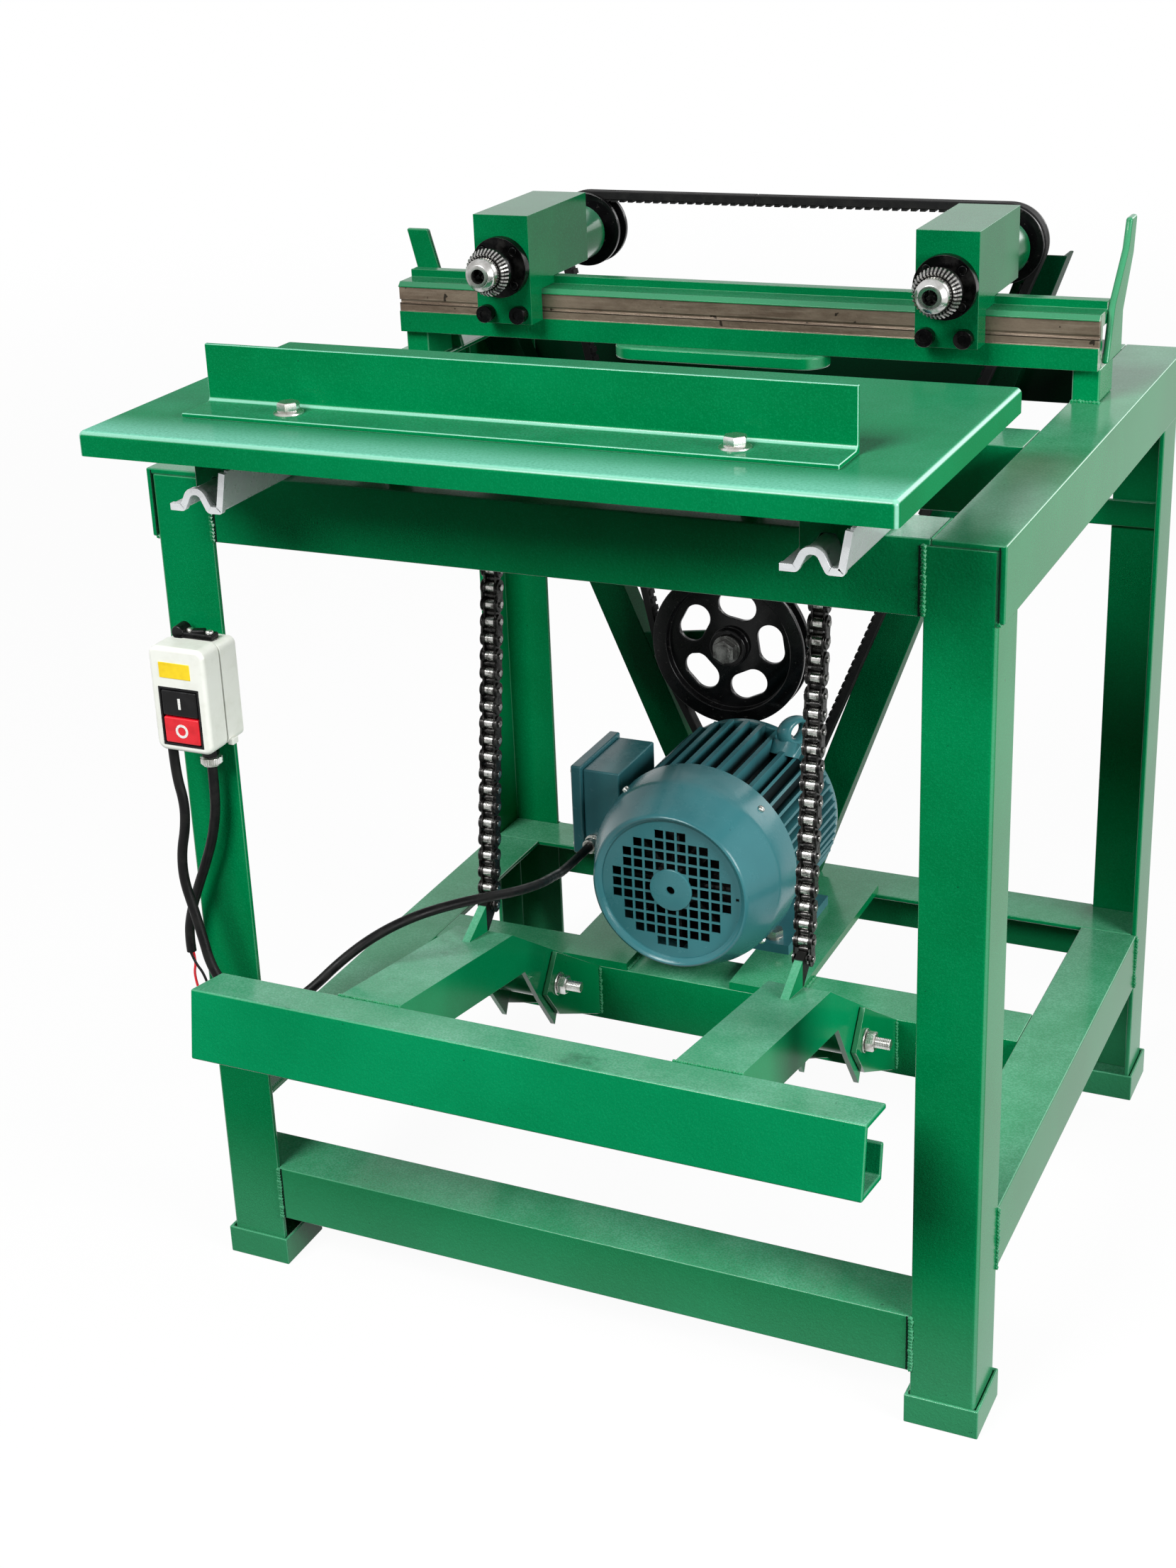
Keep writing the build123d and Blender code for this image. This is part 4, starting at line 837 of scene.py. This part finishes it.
for side, x in heads:
    head = f"{side}_head"
    spindle = f"{side}_spindle"
    sleeve = f"{side}_sleeve"
    nose = Vector((x, nose_y, spindle_z))
    dress(f"head_casting_{side}", f"head_{side}", 0.0045, 4, head, "green_paint", cast)
    dress(f"bearing_cap_{side}", f"cap_{side}", 0.0010, 3, head, "black_iron", blackened)
    dress(f"head_screws_{side}", f"hardware_{side}", 0.0010, 2, head, "black_iron", blackened)
    collars = bmesh.new()
    for screw_x in (x - clamp_reach, x + clamp_reach):
        join(collars, turned(collar_outline, (screw_x, clamp_y, clamp_z), (0, 1, 0), 28))
    fit(f"head_screw_collars_{side}", collars, head, "black_iron", blackened)
    dress(f"spindle_bar_{side}", f"spindle_{side}", 0.0006, 2, spindle, "bare_steel", steel)
    dress(f"belt_wheel_{side}", f"pulley_{side}", 0.0008, 2, spindle, "black_iron", gloss_black)
    chuck = turned(chuck_outline, nose, (0, 1, 0), 64)
    fit(f"chuck_body_{side}", chuck, spindle, "bare_steel", steel, f"chuck_{side}")
    jaws = bmesh.new()
    spindle_axis = Matrix.Translation((-x, 0.0, -spindle_z))
    for turn_no in range(3):
        place = Matrix.Translation(nose) @ Matrix.Rotation(2 * pi * turn_no / 3, 4, "Y")
        jaw = block(jaws, place @ Matrix.Translation((0.0, 0.0125, 0.0041)), (0.0044, 0.014, 0.0050))
        tip = [vert for vert in jaw if vert.co.y < nose_y + 0.008]
        bmesh.ops.scale(jaws, vec=(0.75, 1.0, 0.75), verts=tip, space=spindle_axis)
    fit(f"chuck_jaws_{side}", round_over(jaws, 0.0004), spindle, "bare_steel", blackened)
    geared_ring = turned(sleeve_outline, nose, (0, 1, 0), 72)
    fit(f"chuck_sleeve_{side}", geared_ring, sleeve, "bare_steel", blackened, f"sleeve_{side}")
    cut_teeth = bmesh.new()
    for turn_no in range(teeth):
        place = Matrix.Translation(nose) @ Matrix.Rotation(2 * pi * turn_no / teeth, 4, "Y")
        place = place @ Matrix.Translation((0.0, 0.0172, 0.0190)) @ Matrix.Rotation(radians(-58), 4, "X")
        block(cut_teeth, place, (0.0016, 0.0024, 0.0078))
    fit(f"chuck_teeth_{side}", cut_teeth, sleeve, "bare_steel", gear)

# Belt: one cogged V-belt round the motor wheel, both spindle wheels and the idler.
# Moulded rubber on cord, dusty on its back, with cogs across the inside.
rubber = mottled("belt_rubber", tone(12, 12, 13), tone(26, 26, 25), scale=60.0, detail=5.0, rough=0.6,
                 low=0.4, high=0.7, gloss=0.58, dulling=0.18, grain=700.0, depth=0.00015,
                 Specular_IOR_Level=0.15)
belt_y = 0.3235
cog = 0.0090
spindle_pitch = 0.0330
motor_pitch = 0.0383
idler_pitch = 0.0810
idler_at = Vector((-0.068, belt_y, 0.455))
motor_at = Vector((drive_x, belt_y, drive_z))


def cogs(shape, first, last, inner):
    """Ribs across the inside of a straight run of the belt."""
    along = (last - first).normalized()
    across = Vector((0.0, 1.0, 0.0))
    inside = along.cross(across)
    if inside.dot(inner) < 0:
        inside = -inside
    turn = Matrix((along, across, inside)).transposed().to_4x4()
    for i in range(int((last - first).length / cog)):
        spot = first + along * (cog * (i + 0.5)) + inside * 0.0046
        block(shape, Matrix.Translation(spot) @ turn, (0.0052, 0.0104, 0.0034))


def tangent(first, first_r, last, last_r, side):
    """The ends of the straight run on one side of two wheels, and the way to the belt's inside."""
    run = last - first
    slope = (first_r - last_r) / run.length
    along = run.normalized()
    normal = along.cross(Vector((0.0, 1.0, 0.0))) * side
    outward = along * slope + normal * sqrt(1 - slope * slope)
    return first + outward * first_r, last + outward * last_r, -outward


def belt_part(side, at, square, **cleared):
    """What is left of one half of the belt beside a cut, with the cut closed."""
    part = round_over(solid(f"belt_{side}"), 0.0008, 1)
    bmesh.ops.bisect_plane(part, geom=part.verts[:] + part.edges[:] + part.faces[:], dist=1e-7,
                           plane_co=at, plane_no=square, **cleared)
    bmesh.ops.holes_fill(part, edges=[edge for edge in part.edges if edge.is_boundary])
    return part


for side, x in heads:
    wheel_at = Vector((x, belt_y, spindle_z))
    lower_at, lower_r = (idler_at, idler_pitch) if side == "left" else (motor_at, motor_pitch)
    outer = -1 if side == "left" else 1
    run_low, run_high, inner = tangent(lower_at, lower_r, wheel_at, spindle_pitch, -outer)
    if (run_low - lower_at).x * outer < 0:
        run_low, run_high, inner = tangent(lower_at, lower_r, wheel_at, spindle_pitch, outer)
    along = (wheel_at - lower_at).normalized()
    cut = (along * 0.55 + Vector((-outer * 0.83, 0.0, 0.0))).normalized()
    rise = belt_part(side, wheel_at, cut, clear_outer=True)
    cogs(rise, run_low, run_high, inner)
    rise = fit(f"v_belt_{side}", rise, None, "belt_rubber", rubber, f"belt_{side}")
    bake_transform(rise, "stand", f"{side}_head", start=lower_at + along * 0.085, end=wheel_at - along * 0.040)
    level = belt_part(side, wheel_at, cut, clear_inner=True)
    top_z = spindle_z + spindle_pitch
    cogs(level, Vector((drive_x, belt_y, top_z)), Vector((x, belt_y, top_z)), Vector((0.0, 0.0, -1.0)))
    level = fit(f"v_belt_top_{side}", level, None, "belt_rubber", rubber)
    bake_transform(level, "stand", f"{side}_head", start=(drive_x, belt_y, top_z),
             end=(x - outer * 0.034, belt_y, top_z))

# Feed table: a folded tray turned upside down, with a fence bolted on and slide blocks beneath.
# Steel sheet bent on a press brake with a round fold, corners welded and ground, sprayed green.
table_top = 0.850
table_w = 0.660
table_y = (-0.3885, -0.0705)
lip = 0.020
sheet = 0.003
table_green = enamel("table_enamel", tone(0, 120, 68), tone(0, 110, 60), tone(130, 214, 190),
                     gloss=0.33, dust_and_sheen=0.17, sheen=0.04)
# Painted sheen: a pale band on top along the table's front edge, broken up by a fine grain.
front_strip_sheen = 1 - table_green.between(table_green.along("Y"), -0.386, -0.326)
front_strip_grain = 0.55 + 0.45 * table_green.between(table_green.noise(420.0, 3.0, 0.6), 0.18, 0.66)
table_green.over(front_strip_sheen * table_green.upward() * front_strip_grain * 0.72, tone(140, 220, 196))
# Painted highlight: the rounded folds are painted paler.
table_green.over(0.5 * table_green.rounded(), tone(170, 228, 208))
tray = bmesh.new()
tray_size = (table_w, table_y[1] - table_y[0], lip)
block(tray, Matrix.Translation((0.0, sum(table_y) / 2, table_top - lip / 2)), tray_size)
underside = min(tray.faces, key=lambda one: one.calc_center_median().z)
bmesh.ops.delete(tray, geom=[underside], context="FACES_ONLY")
ease(tray, [edge for edge in tray.edges if edge.is_manifold], 0.0050, 6)
bmesh.ops.recalc_face_normals(tray, faces=tray.faces)
bmesh.ops.solidify(tray, geom=tray.faces[:], thickness=sheet)
bmesh.ops.recalc_face_normals(tray, faces=tray.faces)
fit("feed_table_tray", tray, "table", "green_paint", table_green, "feed_table")
fence_x = (-0.270, 0.270)
fence_back = -0.2865
fence_front = -0.3315
fence_top = table_top + 0.050
gauge = 0.004
fence_foot = table_top + gauge
section = [
    (fence_front, table_top), (fence_back, table_top), (fence_back, fence_top),
    (fence_back - gauge, fence_top), (fence_back - gauge, fence_foot), (fence_front, fence_foot),
]
fence = bmesh.new()
corners = [fence.verts.new((fence_x[0], y, z)) for y, z in section]
fence.faces.new(corners)
ease(fence, [corners[4]], 0.0045, 5, "VERTICES")
pull(fence, bmesh.ops.extrude_face_region(fence, geom=fence.faces[:]), (fence_x[1] - fence_x[0], 0.0, 0.0))
bmesh.ops.recalc_face_normals(fence, faces=fence.faces)
fit("fence_angle", round_over(fence, 0.0013, 3, 50), "table", "green_paint", table_green, "fence")
bolt_y = -0.309
cap_screw = [(0.0, 0.0), (0.0084, 0.0), (0.0092, 0.0007), (0.0092, 0.0058), (0.0082, 0.0070), (0.0, 0.0070)]
flange = [
    (0.0, -0.0004), (0.0118, -0.0004), (0.0122, 0.0002), (0.0120, 0.0012), (0.0098, 0.0026), (0.0, 0.0026),
]
shank = [(0.0, 0.0), (0.0048, 0.0), (0.0048, 0.0150), (0.0042, 0.0158), (0.0, 0.0158)]
fixings = bmesh.new()
for bolt_x in (-0.185, 0.185):
    join(fixings, turned(flange, (bolt_x, bolt_y, fence_foot), (0, 0, 1), 48))
    join(fixings, turned(cap_screw, (bolt_x, bolt_y, fence_foot + 0.0022), (0, 0, 1), 6))
    join(fixings, turned(cap_screw, (bolt_x, bolt_y, table_top - sheet - 0.0002), (0, 0, -1), 6))
    join(fixings, turned(shank, (bolt_x, bolt_y, table_top - sheet), (0, 0, -1), 24))
fit("fence_hex_bolts", fixings, "table", "zinc", plated, "fence_bolts")
dress("slide_blocks_grooved", "slide_blocks", 0.0012, 2, "table", "green_paint", green)
dress("chain_hooks", "chain_brackets", 0.0008, 2, "table", "green_paint", green)

# Switch: a two-button starter on the left front leg, back half screwed to the leg and a lid over it.
# Ivory moulded plastic with rounded walls, and a framed well in the lid for the two buttons.
ivory = Finish("ivory_plastic", Specular_IOR_Level=0.5)
yellowed = ivory.between(ivory.noise(34.0, 6.0, 0.68), 0.46, 0.76)
ivory.feed("Base Color", ivory.mix(yellowed, tone(238, 240, 232), tone(226, 228, 217)))
smudge = ivory.between(ivory.noise(12.0, 5.0, 0.7), 0.52, 0.74)
ivory.over(smudge * 0.35, tone(206, 207, 196))
ivory.feed("Roughness", 0.30 + 0.14 * yellowed)
ivory.bump(ivory.noise(520.0), 0.00005)
lid_x = (-0.3522, -0.2962)
lid_z = (0.545, 0.640)
lid_front = -0.3005
lid_depth = 0.0238
well_x = (-0.3447, -0.3043)
well_z = (0.5508, 0.6042)


def panel(x, z):
    """A flat upright panel in the plane of the lid's front."""
    shape = bmesh.new()
    place = Matrix.Translation((sum(x) / 2, lid_front, sum(z) / 2)) @ Matrix.Rotation(pi / 2, 4, "X")
    bmesh.ops.create_grid(shape, x_segments=1, y_segments=1, size=0.5,
                          matrix=place @ Matrix.Diagonal((x[1] - x[0], z[1] - z[0], 1.0, 1.0)))
    return shape


def front_faces(shape):
    """The faces of the lid that lie in its front plane."""
    return [face for face in shape.faces if face.calc_center_median().y < lid_front + 1e-5]


def in_well(face):
    """True for a face in front of the buttons' well."""
    middle = face.calc_center_median()
    return well_x[0] < middle.x < well_x[1] and well_z[0] < middle.z < well_z[1]


lid = panel(lid_x, lid_z)
ease(lid, lid.verts[:], 0.0085, 7, "VERTICES")
pull(lid, bmesh.ops.extrude_face_region(lid, geom=lid.faces[:]), (0.0, lid_depth, 0.0))
bmesh.ops.recalc_face_normals(lid, faces=lid.faces)
lid_face = min(lid.faces, key=lambda one: one.calc_center_median().y)
ease(lid, lid_face.edges[:], 0.0040, 5)
for at, square in (((well_x[0], 0, 0), (1, 0, 0)), ((well_x[1], 0, 0), (1, 0, 0)),
                   ((0, 0, well_z[0]), (0, 0, 1)), ((0, 0, well_z[1]), (0, 0, 1))):
    flat = front_faces(lid)
    parts = set(flat)
    for one in flat:
        parts.update(one.edges)
        parts.update(one.verts)
    bmesh.ops.bisect_plane(lid, geom=list(parts), plane_co=at, plane_no=square, dist=1e-7)
back_face = max(lid.faces, key=lambda one: one.calc_center_median().y)
bmesh.ops.delete(lid, geom=[back_face], context="FACES_ONLY")
bmesh.ops.delete(lid, geom=[one for one in front_faces(lid) if in_well(one)], context="FACES")
bmesh.ops.solidify(lid, geom=lid.faces[:], thickness=0.0022)
bmesh.ops.recalc_face_normals(lid, faces=lid.faces)
fit("switch_front_half", lid, "stand", "ivory", ivory, "switch_cover")


def corner_posts(first, last):
    """The four long edges of the switch's back half that run away from the leg."""
    return abs(first.y - last.y) > 0.018


shell = round_over(solid("switch_base"), 0.0060, 5, 30, corner_posts)
fit("switch_back_half", round_over(shell, 0.0007, 1, 50), "stand", "ivory", ivory, "switch_base")
tab = bmesh.new()
block(tab, Matrix.Translation((-0.2950, -0.2700, 0.5490)), (0.0056, 0.0090, 0.0060))
fit("switch_lid_catch", round_over(tab, 0.0010, 3), "stand", "ivory", ivory)

# Switch buttons: a black start button over a red stop button in a dark frame, and a blank yellow plate.
# Moulded plastic caps on springs; their marks are the plain bar and ring of any switch.
black = mottled("black_plastic", tone(9, 9, 10), tone(18, 18, 19), scale=80.0, detail=4.0, low=0.4, high=0.7,
                gloss=0.24, dulling=0.16, grain=640.0, depth=0.00005, Specular_IOR_Level=0.2)
red = mottled("red_plastic", tone(226, 22, 38), tone(200, 16, 30), scale=70.0, detail=4.0, low=0.4, high=0.7,
              gloss=0.26, dulling=0.14, grain=640.0, depth=0.00005)
white = mottled("white_print", tone(236, 236, 232), tone(176, 176, 172), scale=500.0, low=0.5, high=0.75,
                gloss=0.40, dulling=0.1, grain=900.0, depth=0.00002)
yellow = mottled("yellow_plate", tone(246, 214, 30), tone(232, 194, 22), scale=60.0, detail=5.0, rough=0.65,
                 low=0.4, high=0.72, gloss=0.34, dulling=0.14, grain=700.0, depth=0.00003)
trim_w = 0.0020
trim_depth = 0.0070
trim = panel(well_x, well_z)
pane = trim.faces[:]
bmesh.ops.inset_region(trim, faces=pane, thickness=trim_w, use_boundary=True, use_even_offset=True)
bmesh.ops.delete(trim, geom=pane, context="FACES")
pull(trim, bmesh.ops.extrude_face_region(trim, geom=trim.faces[:]), (0.0, trim_depth, 0.0))
bmesh.ops.recalc_face_normals(trim, faces=trim.faces)
bmesh.ops.translate(trim, vec=(0.0, -0.0005, 0.0), verts=trim.verts)
fit("switch_button_frame", round_over(trim, 0.0004), "stand", "black_plastic", black)
dress("start_push_button", "start_button", 0.0016, 3, "start", "black_plastic", black)
dress("stop_push_button", "stop_button", 0.0016, 3, "stop", "red_plastic", red)
button_x = -0.3245
button_face = -0.3015
bar = bmesh.new()
block(bar, Matrix.Translation((button_x, button_face, 0.590)), (0.0026, 0.0006, 0.0100))
fit("start_bar_mark", round_over(bar, 0.0002, 1), "start", "ivory", white)
ring_outline = [(0.0040, -0.0003), (0.0062, -0.0003), (0.0062, 0.0003), (0.0040, 0.0003)]
ring = turned(ring_outline, (button_x, button_face, 0.5652), (0, 1, 0), 36)
fit("stop_ring_mark", ring, "stop", "ivory", white)
blank = bmesh.new()
block(blank, Matrix.Translation((-0.3265, -0.3006, 0.6195)), (0.0310, 0.0008, 0.0140))
fit("switch_blank_plate", round_over(blank, 0.0002, 1), "stand", "ivory", yellow)

# Cable fittings: a gland with a knurled nut under the switch, one on the terminal box, a strap on top.
# Plated brass and black nylon, screwed into the housings; the strap is a strip of rubber under two screws.
gland = Vector((-0.322, -0.2665, 0.547))
ribs = 28
nut_outline = [
    (0.0048, -0.001), (0.0072, -0.001), (0.0078, 0.001), (0.0078, 0.0160), (0.0070, 0.0180), (0.0048, 0.0180),
]
knurl_outline = [
    (0.0048, 0.0170), (0.0070, 0.0170), (0.0088, 0.0182), (0.0088, 0.0238), (0.0076, 0.0256),
    (0.0056, 0.0260), (0.0048, 0.0260),
]
entry_outline = [
    (0.0048, 0.0), (0.0066, 0.0), (0.0076, 0.0012), (0.0076, 0.0070), (0.0064, 0.0082), (0.0064, 0.0100),
    (0.0090, 0.0104), (0.0090, 0.0140), (0.0048, 0.0140),
]
nut = turned(nut_outline, gland, (0, 0, -1), 6)
fit("switch_gland_nut", nut, "stand", "black_plastic", black, "cable_fittings")
knurl = turned(knurl_outline, gland, (0, 0, -1), 40)
for turn_no in range(ribs):
    place = Matrix.Translation(gland) @ Matrix.Rotation(2 * pi * turn_no / ribs, 4, "Z")
    place = place @ Matrix.Translation((0.0088, 0.0, -0.0210)) @ Matrix.Rotation(pi / 4, 4, "Z")
    block(knurl, place, (0.0013, 0.0013, 0.0050))
fit("switch_gland_ring", knurl, "stand", "zinc", plated)
entry = turned(entry_outline, (-0.152, 0.1325, 0.293), (0, 1, 0), 36)
fit("motor_gland", entry, "stand", "zinc", plated)
strap_y = -0.2655
strap = bmesh.new()
block(strap, Matrix.Translation((-0.3245, strap_y, 0.6408)), (0.0380, 0.0120, 0.0056))
place = Matrix.Translation((-0.3395, strap_y, 0.6425)) @ Matrix.Rotation(pi / 2, 4, "X")
bmesh.ops.create_cone(strap, cap_ends=True, segments=28, radius1=0.0068, radius2=0.0060, depth=0.0140,
                      matrix=place)
place = Matrix.Translation((-0.3215, strap_y, 0.6430)) @ Matrix.Rotation(radians(20), 4, "Z")
block(strap, place, (0.0120, 0.0080, 0.0060))
fit("switch_top_strap", round_over(strap, 0.0014, 3), "stand", "black_plastic", black)
strap_screws = bmesh.new()
for screw_x in (-0.3300, -0.3110):
    join(strap_screws, turned(pan_head, (screw_x, strap_y, 0.6436), (0, 0, 1), 20))
fit("switch_strap_screws", strap_screws, "stand", "zinc", plated)

# Cables: a lead from the switch to the motor, and a short supply tail whose two cores hang bare.
# Round black rubber flex, clipped to nothing, hanging under its own weight.
flex = mottled("cable_rubber", tone(9, 9, 10), tone(20, 20, 19), scale=90.0, detail=4.0, low=0.4, high=0.7,
               gloss=0.38, dulling=0.2, grain=800.0, depth=0.0001, Specular_IOR_Level=0.15)
cable_r = 0.0045
core_r = 0.0012


def hung(name, route, radius, finish):
    """A flexible cord along its route's points, in metres from the stand's front face."""
    line = bpy.data.curves.new(name, "CURVE")
    line.dimensions = "3D"
    line.bevel_depth = radius
    line.bevel_resolution = 6
    line.resolution_u = 10
    line.use_fill_caps = True
    spline = line.splines.new("NURBS")
    spline.points.add(len(route) - 1)
    for point, (x, y, z) in zip(spline.points, route):
        point.co = (x, front + y, z, 1.0)
    spline.order_u = 3
    spline.use_endpoint_u = True
    line.materials.append(finish.material)
    cord = placed(name, line)
    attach(cord, "stand")
    return cord


motor_route = [
    (-0.3445, -0.038, 0.545), (-0.3445, -0.038, 0.518), (-0.339, -0.038, 0.492), (-0.341, -0.038, 0.468),
    (-0.348, -0.038, 0.443), (-0.349, -0.038, 0.416), (-0.342, -0.038, 0.389), (-0.335, -0.039, 0.362),
    (-0.328, -0.041, 0.335), (-0.310, -0.043, 0.312), (-0.284, -0.043, 0.301), (-0.256, -0.040, 0.306),
    (-0.232, -0.030, 0.324), (-0.212, -0.008, 0.346), (-0.191, 0.018, 0.362), (-0.168, 0.046, 0.371),
    (-0.146, 0.077, 0.372), (-0.127, 0.112, 0.367), (-0.118, 0.150, 0.356), (-0.119, 0.205, 0.339),
    (-0.134, 0.262, 0.318), (-0.152, 0.325, 0.293), (-0.152, 0.384, 0.293),
]
supply_route = [
    (-0.322, -0.015, 0.527), (-0.322, -0.015, 0.502), (-0.3235, -0.015, 0.476), (-0.330, -0.015, 0.449),
    (-0.340, -0.015, 0.423), (-0.351, -0.015, 0.398), (-0.361, -0.015, 0.373), (-0.367, -0.015, 0.349),
    (-0.366, -0.015, 0.331),
]
motor_lead = hung("motor_lead", motor_route, cable_r, flex)
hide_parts("motor_cable")
supply_tail = hung("supply_tail", supply_route, cable_r, flex)
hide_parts("supply_cable")
red_core = hung("red_core", [
    (-0.366, -0.013, 0.331), (-0.364, -0.013, 0.319), (-0.368, -0.013, 0.306), (-0.365, -0.013, 0.293),
], core_r, red)
black_core = hung("black_core", [
    (-0.366, -0.017, 0.331), (-0.362, -0.017, 0.320), (-0.354, -0.017, 0.311), (-0.351, -0.017, 0.300),
], core_r, flex)


# Studio: a white floor under soft light, with the camera where the photograph was taken from.
# The machine stands free on the floor, seen from the front right and a little above.
def looked_at(nodes):
    """1 for rays that show the background itself, straight or in a reflection."""
    seen = nodes.node("ShaderNodeLightPath", {}, {}, "Is Camera Ray")
    for also in ("Is Glossy Ray", "Is Transmission Ray"):
        seen = seen.math("MAXIMUM", seen, nodes.node("ShaderNodeLightPath", {}, {}, also))
    return seen


ambient = 0.06
bpy.context.scene.world = bpy.data.worlds.new("studio")
sky = Nodes(bpy.context.scene.world)
strength = sky.node("ShaderNodeMapRange", {}, {"Value": looked_at(sky), "To Min": ambient, "To Max": 1.0})
background = sky.tree.nodes["Background"]
sky.set(background.inputs["Strength"], strength)
sky.set(background.inputs["Color"], tone(255, 255, 255))
ground = bmesh.new()
bmesh.ops.create_grid(ground, x_segments=1, y_segments=1, size=14.0)
floor_mesh = bpy.data.meshes.new("floor")
ground.to_mesh(floor_mesh)
ground.free()
floor_plane = placed("floor", floor_mesh)
floor_plane.location.z = -0.0005
pale = Finish("pale_floor", Roughness=0.9, Specular_IOR_Level=0.0)
seen = looked_at(pale)
white_floor = pale.mix(pale.noise(3.0), tone(246, 246, 245), tone(242, 242, 242))
pale.feed("Base Color", pale.mix(seen, tone(92, 94, 92), white_floor))
from_machine = pale.node("ShaderNodeVectorMath", {"operation": "LENGTH"}, {0: pale.place}, "Value")
bright = seen * (0.95 + 0.05 * pale.between(from_machine, 2.0, 6.0))
glow = pale.node("ShaderNodeEmission", {}, {})
lit = Level(pale, pale.shader.outputs[0])
blended = pale.node("ShaderNodeMixShader", {}, {0: bright, 1: lit, 2: glow})
pale.set(pale.tree.nodes["Material Output"].inputs["Surface"], blended)
floor_mesh.materials.append(pale.material)

for name, place, aim, size, power in (
    ("key_softbox", (-1.3, -3.9, 4.0), (0.0, 0.0, 0.5), 2.2, 315.0),
    ("back_softbox", (1.7, 2.9, 2.0), (0.0, 0.0, 0.5), 1.8, 30.0),
    ("right_softbox", (2.5, -0.8, 1.35), (0.0, 0.0, 0.4), 1.2, 80.0),
):
    lamp = bpy.data.lights.new(name, "AREA")
    lamp.shape = "SQUARE"
    lamp.size = size
    lamp.energy = power
    light = placed(name, lamp)
    light.location = place
    light.rotation_euler = (Vector(aim) - Vector(place)).to_track_quat("-Z", "Y").to_euler()

camera_at = (0.7717, -1.8204, 1.2991)
pan = radians(26.9)
roll = radians(-3.0)
look = Vector((-0.4185, 0.8258, -0.3781)).normalized()
sideways = Vector((cos(pan), sin(pan), 0.0))
right = sideways * cos(roll) + sideways.cross(look) * sin(roll)
lens = bpy.data.cameras.new("camera")
lens.lens = 53.7
lens.sensor_width = 36.0
lens.shift_x = 0.0405
lens.shift_y = -0.0298
camera = placed("camera", lens)
aimed = Matrix((right, right.cross(look), -look)).transposed().to_4x4()
camera.matrix_world = Matrix.Translation(camera_at) @ aimed
bpy.context.scene.camera = camera
bpy.context.scene.view_settings.view_transform = "Standard"
